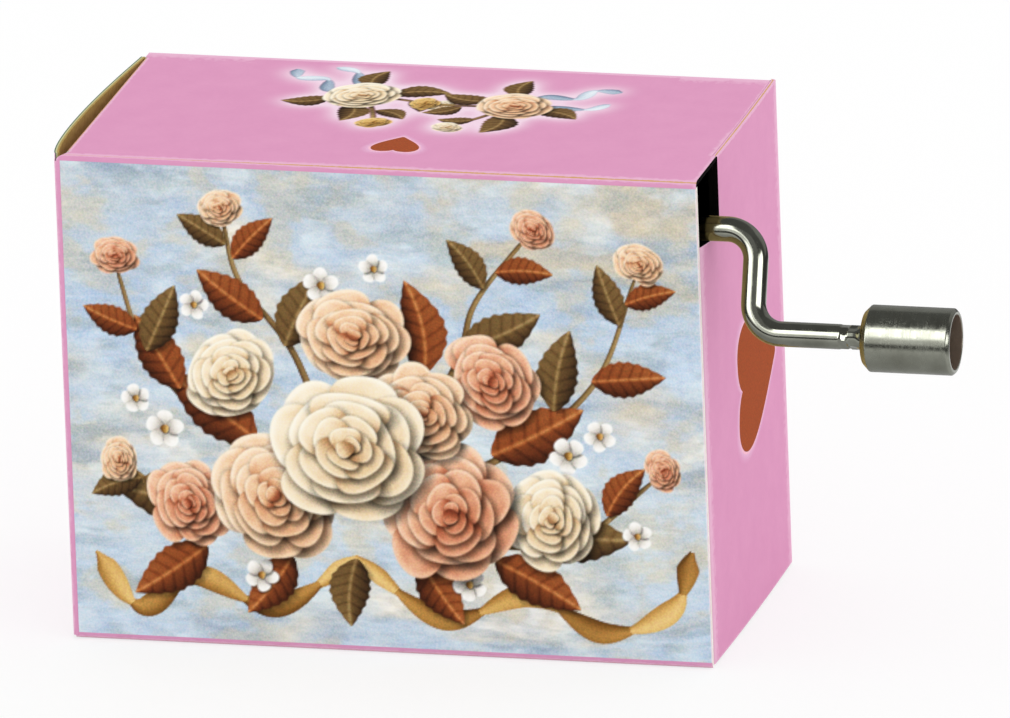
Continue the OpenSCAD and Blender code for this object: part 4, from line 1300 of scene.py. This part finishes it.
def printSkin(name, front, normal, colours, cover, edge, rings=False):
    # a painted grid, or rings round a middle, with a skirt round its border and one face behind
    rows, cols = front.shape[:2]
    index = np.arange(rows * cols).reshape(rows, cols)
    if rings:
        border = index[-1]
        faces = [ringFaces(index[:-1], index[1:])[:, [0, 3, 2, 1]]]
    else:
        border = np.concatenate([index[:-1, 0], index[-1, :-1], index[:0:-1, -1], index[0, :0:-1]])
        faces = [gridFaces(rows, cols)]
    taken = np.concatenate([index.ravel(), border, border])    # the grid, its border again, and behind it
    points = front.reshape(-1, 3)[taken]
    points[-len(border):] -= prints["skin"] * normal
    a = rows * cols + np.arange(len(border))
    behind = a + len(border)
    faces += [np.stack([behind, np.roll(behind, -1), np.roll(a, -1), a], axis=1), behind[None, ::-1]]
    if rings:
        faces.append(index[:1])
    given = {"side": 0.0, "edge": edge, "rub": prints["rub"], "cover": cover}
    values = {key: np.broadcast_to(value, (rows, cols)).ravel()[taken] for key, value in given.items()}
    part = {"points": points, "faces": faces, "values": values}
    paint = toLinear(colours.reshape(-1, 3)[taken])
    return makePiece(name, part, "case", printedBoard, colours=paint)


def frontPrint():
    # a flat grid over the front, in two halves
    v = prints
    border = v["frontBorder"]
    right, foot, head = v["frontGaps"]
    width = carton["width"]
    x = np.linspace(border, width - right, round((width - border) / v["frontStep"]))
    z = np.linspace(border + foot, boxTop - border - head, round((boxTop - 2 * border) / v["frontStep"]))
    canvas = Canvas(x, z)
    paintSky(canvas)
    paintBouquet(canvas)
    gridX, gridZ = np.meshgrid(x - halfWidth, z, indexing="ij")
    front = gridOf(gridX, -halfDepth - v["proud"], gridZ)
    paint = np.clip(canvas.paint, 0.0, 1.0)
    paint[x > width - v["whiteEnd"]] = v["white"]
    edge = halfWidth - gridX + v["endWear"]
    middle = len(x) // 2
    for name, half in (("frontPrintLeft", slice(0, middle + 1)), ("frontPrintRight", slice(middle, None))):
        printSkin(name, front[half], np.array([0.0, -1.0, 0.0]), paint[half], 1.0, edge[half])


def softHalo(mask, reach):
    # the mask blurred by a bell curve of this many cells; rounded, so that every run gives the same digits
    rows, cols = mask.shape
    waves = np.fft.fftfreq(rows)[:, None] ** 2 + np.fft.rfftfreq(cols)[None, :] ** 2
    kernel = np.exp(-2.0 * (math.pi * reach) ** 2 * waves)
    return np.round(np.fft.irfft2(np.fft.rfft2(mask) * kernel, s=mask.shape), 7)


def topPrint():
    # a flat grid on the top whose border sinks into the board, where the cover has faded
    v = prints
    x0, x1, y0, y1 = v["topArea"]
    x = np.arange(x0, x1, v["topStep"])
    y = np.arange(y0, y1, v["topStep"])
    canvas = Canvas(x, y)
    canvas.paint[...] = np.array(v["glow"]) / 255.0
    for place in v["sprigs"]:
        paintSprig(canvas, *place)
    halo = np.clip(v["glowGain"] * softHalo(canvas.cover, v["glowReach"] / v["topStep"]), 0.0, 1.0)
    cover = np.maximum(canvas.cover, v["glowShare"] * halo)
    rim = np.minimum(np.minimum(x - x[0], x[-1] - x)[:, None], np.minimum(y - y[0], y[-1] - y)[None, :])
    cover = cover * smoothStep(*v["fade"], rim)
    gridX, gridY = np.meshgrid(x, y, indexing="ij")
    height = boxTop - v["dip"] + (v["proud"] + v["dip"]) * smoothStep(*v["sink"], rim)
    front = gridOf(gridX, gridY, height)
    printSkin("topPrint", front, np.array([0.0, 0.0, 1.0]), np.clip(canvas.paint, 0.0, 1.0), cover, farOff)


heart = {
    "red": (163, 79, 44),
    "rim": (146, 68, 38),
    "line": (245, 190, 206),
    "glow": (232, 186, 216),
    "side": (3.9, 22.05, 12.4, 14.2),     # y and z of its middle, width and length
    "top": (0.47, -8.45, 4.48, 4.3),      # x and y of its middle, width and length
    # half its outline from the cleft over the lobe to the tip: control points of each curve, and its points
    "curves": (
        (((0.0, 0.39), (0.05, 0.47), (0.16, 0.5), (0.26, 0.5)), 28),
        (((0.26, 0.5), (0.41, 0.5), (0.5, 0.38), (0.5, 0.24)), 28),
        (((0.5, 0.24), (0.5, 0.02), (0.27, -0.22), (0.06, -0.455)), 28),
        (((0.06, -0.455), (0.04, -0.478), (0.02, -0.5), (0.0, -0.5)), 9),
    ),
    "inner": (0.03, 0.3, 0.6, 0.85),      # rings inside, as shares of the outline
    "thin": (0.07, 3),                    # mm between the rings near the outline, and how many each way
    "ringTones": (("red", 5), ("rim", 2), ("line", 4)),    # from the middle; the halo takes the glow
    "haloWidth": 1.8,                     # mm, and its rings with their cover
    "halo": (0.15, 0.3, 0.5, 0.75, 1.0),
    "haloCover": (0.75, 0.55, 0.32, 0.12, 0.0),
}


def cubicCurve(points, share):
    # a cubic curve: its four control points, weighted by powers of the share and of the rest
    a, b, c, d = (np.array(point)[None, :] for point in points)
    t = share[:, None]
    return (1 - t) ** 3 * a + 3 * (1 - t) ** 2 * t * b + 3 * (1 - t) * t ** 2 * c + t ** 3 * d


def heartRings(width, long):
    # half an outline of four curves and its mirror image; rings of it run from the middle to the outline and
    # on through the halo, where the cover fades
    v = heart
    curves = [cubicCurve(points, np.linspace(0.0, 1.0, count)[:-1]) for points, count in v["curves"]]
    half = np.concatenate(curves)
    mirrored = np.concatenate([[[0.0, -0.5]], half[:0:-1] * np.array([-1.0, 1.0])])
    outline = np.concatenate([half, mirrored])
    gap, each = v["thin"]
    thin = gap / width
    halo = 1 + each * thin + v["haloWidth"] / width * np.array(v["halo"])
    scale = np.concatenate([v["inner"], 1 + np.arange(-each, each + 1) * thin, halo])[:, None]
    tones = [v[name] for name, count in v["ringTones"] for _ in range(count)] + [v["glow"]] * len(halo)
    cover = np.array([1.0] * (len(tones) - len(halo)) + list(v["haloCover"]))[:, None]
    paint = np.broadcast_to(np.array(tones)[:, None] / 255.0, (len(tones), len(outline), 3))
    return scale * (width * outline[:, 0]), scale * (long * outline[:, 1]), paint, cover


def heartPrints():
    # one lies on its side on the bowed right panel, one upright on the top; each one's last ring sinks in
    v = prints
    y, z, width, long = heart["side"]
    across, along, paint, cover = heartRings(width, long)
    gridY = y - along
    front = gridOf(-rightFace(-gridY) + v["proud"], gridY, z + across)
    front[-1, :, 0] -= v["proud"] + v["dip"]
    front, paint = front[:, ::-1], paint[:, ::-1]
    printSkin("sideHeart", front, np.array([1.0, 0.0, 0.0]), paint, cover, farOff, rings=True)
    x, y, width, long = heart["top"]
    across, along, paint, cover = heartRings(width, long)
    front = gridOf(x + across, y - along, boxTop + 2.0 * v["proud"])
    front[-1, :, 2] = boxTop - v["dip"]
    printSkin("topHeart", front, np.array([0.0, 0.0, 1.0]), paint, cover, farOff, rings=True)


frontPrint()
topPrint()
heartPrints()
print("prints done")


# Crank: a bent rod with a pinched stop and a riveted end

metalFinish = {
    "light": (150, 152, 141),
    "deep": (130, 131, 120),
    "recess": (172, 138, 118),    # stained inside of the knob's cup
    "recessStain": 0.6,           # how little of it is bare metal
    "recessRough": 0.3,
    "ring": (136, 122, 66),       # yellow edge where the plating is thin
    "paintedSlotShade": (18, 16, 13),         # painted shade on the rod inside the slot
    "scale": 420.0,               # of the patterns, per metre
    "lineScale": 1500.0,
    "speckle": 0.12,
    "bump": (0.08, 0.02),
    "rodLines": (1.0, 1.0, 1.0),
    "rodGloss": (0.08, 0.2),
    "knobLines": (3.0, 0.35, 0.35),
    "knobGloss": (0.14, 0.34),
}


def makeNickel(name, v, along, gloss):
    material, tree, shader, place = newMaterial(name)
    colour = mottled(tree, place, v["scale"], v["light"], v["deep"], v["speckle"])
    lines = useGroup(tree, scratches, {"Vector": place, "Along": along, "Scale": v["lineScale"]})
    recess = attributeOf(tree, "recess")["Fac"]
    colour = mixColour(tree, recess, colour, rgba(v["recess"]))
    stain = math2(tree, "MULTIPLY", recess, v["recessStain"])
    tree.links.new(math2(tree, "SUBTRACT", 1.0, stain), shader.inputs["Metallic"])
    colour = mixColour(tree, attributeOf(tree, "ring")["Fac"], colour, rgba(v["ring"]))
    # painted shade: the rod inside the slot is darkened towards black
    colour = mixColour(tree, attributeOf(tree, "paintedSlotShade")["Fac"], colour, rgba(v["paintedSlotShade"]))
    tree.links.new(colour, shader.inputs["Base Color"])
    rough = rangeOf(tree, lines["Gloss"], 0.0, 1.0, *gloss)
    rough = math2(tree, "ADD", rough, math2(tree, "MULTIPLY", recess, v["recessRough"]), clamp=True)
    tree.links.new(rough, shader.inputs["Roughness"])
    bumpInto(tree, shader, lines["Height"], *v["bump"])
    return material


nickelRod = makeNickel("nickelRod", metalFinish, metalFinish["rodLines"], metalFinish["rodGloss"])
nickelKnob = makeNickel("nickelKnob", metalFinish, metalFinish["knobLines"], metalFinish["knobGloss"])

crank = {
    "axis": (-11.05, 40.75),       # y and z of the shaft
    "angle": -20.0,                # the arm hangs forward
    "radius": 1.15,
    "start": 2.0,
    "end": (0.05, 0.15, 0.02),     # its rounded inner end: two steps, and the radius in the middle
    "groove": (3.0, 3.5, 0.85),    # snap ring's groove: from, to, radius
    "armX": 34.5,
    "throw": 9.25,
    "bend": 2.7,
    "shaftPoints": (0.5, 3.0, 26),   # mm from the groove, mm to the bend, points
    "slotPoints": (2.8, 14),         # closer together near the slot, where the soot ends
    "bendPoints": 22,
    "armPoints": 10,
    "pinPoints": 10,
    "stopPoints": (1.1, 1.2, 34),  # mm each way, mm to the next point, points
    "stopX": 43.7,
    "earReach": 1.6,
    "earLength": 0.85,
    "earShare": 0.6,
    "earPowers": (8, 5),           # how squarely the ears end along the pin, and how narrow they are round it
    "toolSides": 6,
    "bites": (0.25, 0.8),          # angles of the tool's two bites
    "biteDepth": 1.1,
    "biteStep": (0.07, 0.15),      # mm over which one changes to the other, and how slanted
    "rivet": (46.95, 47.75, 1.75),
    "rivetEdge": (0.06, 0.05, 0.08, 0.12),    # mm from its start: two before it, two past it
    "rivetRound": (0.35, 0.03),               # radius of its edge over the rod's and under its own
    "domePoints": 10,
    "paintedSlotShade": (30.15, 29.85, 0.97),  # x where the painted shade begins and where it is full, and how dark it is
    "around": 48,
    "sharp": 50,                   # degrees between faces that make an edge
}


def crankPath():
    # plan of the rod's centre line: shaft, quarter circle, arm, quarter circle, pin; x and the way down the
    # arm, with the radius and the heading at each point
    v = crank
    bend, armX, throw, r = (v[key] for key in ("bend", "armX", "throw", "radius"))
    start, stop = v["start"], v["stopX"]
    small, large, tip = v["end"]
    g0, g1, grooveR = v["groove"]
    step = 2 * hair
    endX = [start, start, start + small, start + large, g0 - step, g0, g0 + hair, g1 - hair, g1, g1 + step]
    endR = [tip, r - large, r - small, r, r, r - step, grooveR, grooveR, r - step, r]
    bendX = armX - bend
    first, last, count = v["shaftPoints"]
    fineFrom, fineCount = v["slotPoints"]
    shaftX = np.concatenate([endX, np.linspace(g1 + first, bendX - last, count),
                             np.linspace(bendX - fineFrom, bendX, fineCount)])
    turn = np.linspace(0.0, quarterTurn, v["bendPoints"])
    upper = np.stack([bendX + bend * np.sin(turn), bend - bend * np.cos(turn)], axis=1)[1:]
    armDown = np.linspace(bend, throw - bend, v["armPoints"])[1:-1]
    arm = np.stack([np.full(len(armDown), armX), armDown], axis=1)
    lower = np.stack([armX + bend - bend * np.cos(turn), throw - bend + bend * np.sin(turn)], axis=1)
    rx0, rx1, rivetR = v["rivet"]
    before, under, over, full = v["rivetEdge"]
    wider, rounded = v["rivetRound"]
    reach, past, stopCount = v["stopPoints"]
    dome = np.linspace(0.0, quarterTurn, v["domePoints"])
    pinX = np.concatenate([
        np.linspace(armX + bend, stop - past, v["pinPoints"])[1:],
        np.linspace(stop - reach, stop + reach, stopCount),
        np.linspace(stop + past, rx0 - before, v["pinPoints"]),
        [rx0 - under, rx0, rx0 + over],
        rx0 + full + (rx1 - rx0 - full) * np.sin(dome),
    ])
    headR = np.concatenate([[r, r + wider, rivetR - rounded], tip + (rivetR - tip) * np.cos(dome)])
    shaft = np.stack([shaftX, np.zeros(len(shaftX))], axis=1)
    pin = np.stack([pinX, np.full(len(pinX), throw)], axis=1)
    plan = np.concatenate([shaft, upper, arm, lower, pin])
    radius = np.full(len(plan), r)
    radius[:len(endR)] = endR
    radius[-len(headR):] = headR
    heading = np.concatenate([np.zeros(len(shaft)), turn[1:], np.full(len(arm), quarterTurn),
                              quarterTurn - turn, np.zeros(len(pin))])
    return plan, radius, heading


def closedTube(points):
    # rings joined all round, and a cap on each end
    rows, cols = points.shape[:2]
    index = np.arange(rows * cols).reshape(rows, cols)
    faces = [ringFaces(index[:-1], index[1:]), index[:1, ::-1], index[-1:]]
    return {"points": points.reshape(-1, 3), "faces": faces, "values": {}}


def crankTube():
    # circles across the centre line, each in the plane that its heading gives; at the pinched stop two ears
    # grow across the arm's plane, and two bites of a six-sided tool leave flats
    v = crank
    plan, radius, heading = crankPath()
    angle = np.linspace(0.0, fullTurn, v["around"], endpoint=False)[None, :]
    onPin = (plan[:, 1] > v["throw"] - tiny) & (plan[:, 0] > v["armX"] + v["bend"])
    square, narrow = v["earPowers"]
    pinch = np.where(onPin, np.exp(-((plan[:, 0] - v["stopX"]) / v["earLength"]) ** square), 0.0)[:, None]
    ear = np.abs(np.sin(angle)) ** narrow
    soft, slant = v["biteStep"]
    second = smoothStep(-soft, soft, plan[:, :1] - v["stopX"] - slant * np.sin(angle))
    flat = fullTurn / v["toolSides"]
    bite = 0.0
    for phase, share in zip(v["bites"], (1.0 - second, second)):
        turned = np.mod(angle + phase, flat) - flat / 2
        bite = bite + share * v["radius"] * (1.0 - math.cos(flat / 2) / np.cos(turned))
    earHeight = v["earShare"] * (v["earReach"] - v["radius"]) * ear
    size = radius[:, None] + pinch * (earHeight - v["biteDepth"] * bite)
    inPlane = size * np.cos(angle)
    across = size * np.sin(angle)
    x = plan[:, :1] - inPlane * np.sin(heading)[:, None]
    down = plan[:, 1:] + inPlane * np.cos(heading)[:, None]
    tilt = math.radians(v["angle"])
    armWay = np.array([0.0, math.sin(tilt), -math.cos(tilt)])
    sideWay = np.array([0.0, math.cos(tilt), math.sin(tilt)])
    centre = np.array([0.0, *v["axis"]])
    points = centre + x[..., None] * np.array([1.0, 0.0, 0.0])
    points = points + down[..., None] * armWay + across[..., None] * sideWay
    part = closedTube(points)
    clean, full, dark = v["paintedSlotShade"]
    part["values"] = {"paintedSlotShade": dark * smoothStep(clean, full, part["points"][:, 0])}
    return part


rod = makePiece("crankRod", crankTube(), "crank", nickelRod, sharp=crank["sharp"])
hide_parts("crank_rod")

knob = {
    "start": 45.05,
    "length": 8.4,
    "radius": 3.05,
    "chamfer": 0.6,
    "rimChamfer": 0.25,
    "rim": 0.55,
    "wall": 1.8,
    "bore": 1.19,
    "fillet": 0.07,
    "lead": 1.6,                 # fillets from a corner to the point that keeps the flat flat
    "recess": (0.03, 0.05),      # mm over which the stain begins: inside the rim, above the wall
    "ring": (0.28, 0.08),        # mm from its start where the yellow edge ends and where it is full
    "ringFrom": 0.3,             # mm outside the bore
    "ringShare": 0.75,
    "around": 128,
    "sharp": 40,
}


def roundCorners(corners, fillet, lead, steps=4):
    # a closed outline whose corners are small arcs, with a point close to each arc to keep the flats flat
    corners = np.array(corners, float)
    before = np.roll(corners, 1, axis=0) - corners
    after = np.roll(corners, -1, axis=0) - corners
    before /= np.linalg.norm(before, axis=1, keepdims=True)
    after /= np.linalg.norm(after, axis=1, keepdims=True)
    share = np.linspace(0.0, 1.0, steps + 1)[None, :, None]
    arc = corners[:, None] + fillet * ((1 - share) ** 2 * before[:, None] + share ** 2 * after[:, None])
    entry = corners[:, None] + lead * fillet * before[:, None]
    leave = corners[:, None] + lead * fillet * after[:, None]
    return np.concatenate([entry, arc, leave], axis=1).reshape(-1, 2)


def knobLathe():
    # the cup's outline in x and radius, turned round the pin's axis
    v = knob
    end = v["start"] + v["length"]
    inner = v["radius"] - v["rim"]
    floor = v["start"] + v["wall"]
    outline = roundCorners([
        (v["start"], v["bore"]), (v["start"], v["radius"] - v["chamfer"]),
        (v["start"] + v["chamfer"], v["radius"]), (end - v["rimChamfer"], v["radius"]),
        (end, v["radius"] - v["rimChamfer"]), (end, inner), (floor, inner), (floor, v["bore"]),
    ], v["fillet"], v["lead"])
    angle = np.linspace(0.0, fullTurn, v["around"], endpoint=False)[None, :]
    tilt = math.radians(crank["angle"])
    y = crank["axis"][0] + crank["throw"] * math.sin(tilt)
    z = crank["axis"][1] - crank["throw"] * math.cos(tilt)
    radius = outline[:, 1:]
    points = gridOf(outline[:, :1], y + radius * np.cos(angle), z + radius * np.sin(angle))
    rows, cols = points.shape[:2]
    index = np.arange(rows * cols).reshape(rows, cols)
    past = outline[:, 0] - v["start"]
    soft, above = v["recess"]
    recess = smoothStep(inner + soft, inner - soft, outline[:, 1]) * (past > v["wall"] - above)
    ring = v["ringShare"] * smoothStep(*v["ring"], past) * (outline[:, 1] > v["bore"] + v["ringFrom"])
    values = {"recess": np.repeat(recess, cols), "ring": np.repeat(ring, cols)}
    faces = [ringFaces(index, np.roll(index, -1, axis=0))]
    return {"points": points.reshape(-1, 3), "faces": faces, "values": values}


knobPiece = makePiece("crankKnob", knobLathe(), "knob", nickelKnob, sharp=knob["sharp"])
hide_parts("crank_knob")
print("crank done")


# Movement inside: the CAD's own solids, each with its metal

innerLook = {
    "lineScale": 2200.0,
    "speckle": 0.2,
    "bumpHeight": 0.03,
    "paintedShadeFrom": (0.020, 0.0255),    # metres along X between which the movement is painted dark as shade
    # colour of that painted shade
    "dust": (10, 8, 6),
}


def makeMetal(name, light, deep, gloss, scale, along, bump, metallic):
    v = innerLook
    material, tree, shader, place = newMaterial(name, Metallic=metallic)
    colour = mottled(tree, place, scale, light, deep, v["speckle"])
    lines = useGroup(tree, scratches, {"Vector": place, "Along": along, "Scale": v["lineScale"]})
    # painted shade: whatever lies close behind the slot is darkened towards black
    x = addNode(tree, "SeparateXYZ", {0: place}).outputs["X"]
    colour = mixColour(tree, rangeOf(tree, x, *v["paintedShadeFrom"], 0.0, 1.0), colour, rgba(v["dust"]))
    tree.links.new(colour, shader.inputs["Base Color"])
    tree.links.new(rangeOf(tree, lines["Gloss"], 0.0, 1.0, *gloss), shader.inputs["Roughness"])
    bumpInto(tree, shader, lines["Height"], bump, v["bumpHeight"])
    return material


# light and deep colour, gloss, pattern's scale, scratches' stretch, bump, metallic
innerFinishes = {
    "zincCasting": ((168, 170, 172), (140, 142, 146), (0.38, 0.62), 600.0, (1.0, 1.0, 1.0), 0.35, 1.0),
    "springSteel": ((150, 154, 160), (118, 122, 130), (0.2, 0.42), 500.0, (0.2, 3.0, 1.0), 0.2, 1.0),
    "plainSteel": ((172, 172, 170), (140, 140, 138), (0.2, 0.4), 800.0, (1.0, 1.0, 1.0), 0.12, 1.0),
    "softMetal": ((112, 114, 118), (84, 86, 90), (0.5, 0.7), 900.0, (1.0, 1.0, 1.0), 0.4, 1.0),
    "brass": ((214, 178, 100), (180, 138, 66), (0.18, 0.4), 500.0, (1.0, 3.0, 1.0), 0.12, 1.0),
    "nylon": ((236, 230, 214), (222, 212, 190), (0.38, 0.55), 400.0, (1.0, 1.0, 1.0), 0.15, 0.0),
    "hardboard": ((150, 112, 70), (108, 76, 44), (0.75, 0.92), 700.0, (1.0, 1.0, 1.0), 0.5, 0.0),
}
innerMetals = {name: makeMetal(name, *values) for name, values in innerFinishes.items()}
nodeFinish = {
    "sound_board": "hardboard", "mounting_screws": "plainSteel", "bedplate": "zincCasting",
    "comb": "springSteel", "comb_weights": "softMetal", "comb_screws": "plainSteel",
    "shaft_bushes": "brass", "worm": "brass", "thrust_washer": "nylon", "shaft_ring": "plainSteel",
    "cylinder_drum": "brass", "tune_pins": "plainSteel", "drum_end_caps": "brass", "worm_wheel": "nylon",
    "cylinder_arbor": "plainSteel", "arbor_ring": "plainSteel",
}
for nodeName, finish in nodeFinish.items():
    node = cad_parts[nodeName]
    if not node.material_slots:
        node.data.materials.append(innerMetals[finish])
    for holder in node.material_slots:
        holder.material = innerMetals[finish]
print("movement done")


# Floor, studio light and camera

stage = {
    "floorSize": 12.0,     # metres
    "floorPoints": 9,
    "floorDrop": 0.05,     # mm
    "floorColour": (0.97, 0.97, 0.97),
    "floorRough": 0.9,
    "floorGlow": 0.72,     # share of plain white in what the eye sees of the floor
    "mirrorFloor": ((0.045, 0.11, 0.55, 1.0), (0.115, 0.17, 1.0, 0.1)),    # what metal sees of the floor, by distance: dimmer close to the object as a painted shade, then dark far off
    "skyLevel": 0.985,
    "rightFill": 0.25,     # more of it from the right, from the first share of X to the second
    "fillFrom": (0.2, 1.0),
    # what metal sees, in degrees of bearing and height: two soft boxes in front, a pale backdrop behind, a
    # dark ceiling
    "boxLevel": 5.5,
    "boxSoft": 2.0,
    "leftBox": (-54.0, -12.0),
    "leftFoot": ((-30.0, -20.0), (6.0, 22.0)),    # between these bearings its lower edge rises so far
    "leftSoft": 4.0,
    "rightBox": (38.0, 82.0),
    "rightFoot": (1.5, 1.5),    # height and softness
    "rightRoof": (22.0, 3.0),
    "between": 0.33,
    "underLeft": 1.6,      # below the left box
    "sides": 0.15,
    "backdrop": 0.4,
    "backdropFrom": (106.0, 120.0),
    "ceiling": 0.17,
    "roof": ((60.0, 120.0), (53.0, 46.0)),    # its height falls from the front to the back
    "roofSoft": 1.5,
    "gap": 0.1,            # along the horizon
    "gapEnds": (-1.0, 0.5),
}


def makeFloor(v):
    # a flat grid that keeps the shadow; the eye sees some plain white in it, and metal sees it as a glow that
    # goes by distance, dimmer close to the object as a painted shade
    half = v["floorSize"] / 2 / mm
    along = np.linspace(-half, half, v["floorPoints"])
    part = gridPart(gridOf(along[:, None], along, -v["floorDrop"]))
    colour = (*v["floorColour"], 1.0)
    material, tree, shader, place = newMaterial(
        "paleFloor", Base_Color=colour, Roughness=v["floorRough"], Specular_IOR_Level=0.0
    )
    path = tree.nodes.new("ShaderNodeLightPath").outputs
    seen = math2(tree, "MAXIMUM", path["Is Camera Ray"], path["Is Transmission Ray"])
    white = addNode(tree, "Emission", {"Color": (1.0, 1.0, 1.0, 1.0), "Strength": 1.0}).outputs[0]
    share = math2(tree, "MULTIPLY", seen, v["floorGlow"])
    both = addNode(tree, "MixShader", {0: share, 1: shader.outputs[0], 2: white}).outputs[0]
    off = addNode(tree, "VectorMath", {0: place}, operation="LENGTH").outputs["Value"]
    near, far = (rangeOf(tree, off, *limits) for limits in v["mirrorFloor"])
    level = math2(tree, "MULTIPLY", near, far)
    mirrored = addNode(tree, "Emission", {"Color": (1.0, 1.0, 1.0, 1.0), "Strength": level}).outputs[0]
    both = addNode(tree, "MixShader", {0: path["Is Glossy Ray"], 1: both, 2: mirrored}).outputs[0]
    tree.links.new(both, tree.nodes["Material Output"].inputs["Surface"])
    mesh = bpy.data.meshes.new("floor")
    mesh.from_pydata((part["points"] * mm).tolist(), [], part["faces"][0].tolist())
    mesh.materials.append(material)
    floor = bpy.data.objects.new("floor", mesh)
    scene.collection.objects.link(floor)


def makeStudio(v):
    # even white light for matt surfaces, with a soft fill from the right; mirrors see boxes and bands of
    # light by their bearing from the front and their height over the horizon
    world = bpy.data.worlds.new("studio")
    scene.world = world
    world.use_nodes = True
    tree = world.node_tree
    tree.nodes.clear()
    towards = tree.nodes.new("ShaderNodeTexCoord").outputs["Generated"]
    way = addNode(tree, "SeparateXYZ", {0: towards}).outputs
    height = math2(tree, "MULTIPLY", math2(tree, "ARCSINE", way["Z"]), 180.0 / math.pi)
    ahead = math2(tree, "MULTIPLY", way["Y"], -1.0)
    bearing = math2(tree, "MULTIPLY", math2(tree, "ARCTAN2", way["X"], ahead), 180.0 / math.pi)
    off = math2(tree, "ABSOLUTE", bearing)

    def past(value, limit, soft):
        return rangeOf(tree, value, limit - soft, limit + soft, 0.0, 1.0)

    def short(value, limit, soft):
        return rangeOf(tree, value, limit - soft, limit + soft, 1.0, 0.0)

    def between(first, last):
        soft = v["boxSoft"]
        return math2(tree, "MULTIPLY", past(bearing, first, soft), short(bearing, last, soft))

    def mixLevel(factor, first, second):
        return addNode(tree, "Mix", {0: factor, 2: first, 3: second}).outputs[0]

    level = mixLevel(between(v["leftBox"][0], v["rightBox"][0]), v["sides"], v["between"])
    level = mixLevel(between(*v["leftBox"]), level, v["underLeft"])
    foot = rangeOf(tree, bearing, *v["leftFoot"][0], *v["leftFoot"][1])
    inLeft = past(math2(tree, "SUBTRACT", height, foot), 0.0, v["leftSoft"])
    level = mixLevel(math2(tree, "MULTIPLY", between(*v["leftBox"]), inLeft), level, v["boxLevel"])
    inRight = math2(tree, "MULTIPLY", past(height, *v["rightFoot"]), short(height, *v["rightRoof"]))
    level = mixLevel(math2(tree, "MULTIPLY", between(*v["rightBox"]), inRight), level, v["boxLevel"])
    level = mixLevel(rangeOf(tree, off, *v["backdropFrom"], 0.0, 1.0), level, v["backdrop"])
    roof = rangeOf(tree, off, *v["roof"][0], *v["roof"][1])
    overRoof = past(math2(tree, "SUBTRACT", height, roof), 0.0, v["roofSoft"])
    level = mixLevel(overRoof, level, v["ceiling"])
    level = mixLevel(rangeOf(tree, height, *v["gapEnds"], 0.0, 1.0), v["gap"], level)
    path = tree.nodes.new("ShaderNodeLightPath").outputs
    soft = rangeOf(tree, way["X"], *v["fillFrom"], v["skyLevel"], v["skyLevel"] + v["rightFill"])
    soft = mixLevel(path["Is Camera Ray"], soft, 1.0)
    strength = mixLevel(path["Is Glossy Ray"], soft, level)
    background = addNode(tree, "Background", {"Color": (1.0, 1.0, 1.0, 1.0), "Strength": strength})
    tree.links.new(background.outputs[0], tree.nodes.new("ShaderNodeOutputWorld").inputs["Surface"])


makeFloor(stage)
makeStudio(stage)

view = {
    "azimuth": 14.96,
    "elevation": 18.32,
    "roll": -2.12,
    "distance": 3000.0,
    "scale": 10.995,               # pixels for one mm
    "centre": (531.55, 366.19),    # pixel where the aim shows
    "aim": (10.0, 0.0, 23.0),
    "image": (1010, 718),
    "sensor": 36.0,
    "clip": (0.1, 40.0),           # metres
}


def makeCamera(v):
    # looks back along the azimuth and elevation, rolled, from so far off that the aim shows at its pixel
    a, e, r = (math.radians(v[key]) for key in ("azimuth", "elevation", "roll"))
    back = Vector((math.sin(a) * math.cos(e), -math.cos(a) * math.cos(e), math.sin(e)))
    level = Vector((math.cos(a), math.sin(a), 0.0))
    upright = back.cross(level)
    right = math.cos(r) * level + math.sin(r) * upright
    up = -math.sin(r) * level + math.cos(r) * upright
    offset = [(v["image"][i] / 2 - v["centre"][i]) / v["scale"] for i in (0, 1)]
    aim = Vector(v["aim"]) + right * offset[0] - up * offset[1]
    data = bpy.data.cameras.new("camera")
    data.sensor_width = v["sensor"]
    data.lens = v["scale"] * v["distance"] * v["sensor"] / v["image"][0]
    data.clip_start, data.clip_end = v["clip"]
    camera = bpy.data.objects.new("camera", data)
    place = (aim + back * v["distance"]) * mm
    turn = Matrix((right, up, back)).transposed().to_4x4()
    camera.matrix_world = Matrix.Translation(place) @ turn
    scene.collection.objects.link(camera)
    scene.camera = camera


makeCamera(view)
scene.view_settings.view_transform = "Standard"
print("stage done")
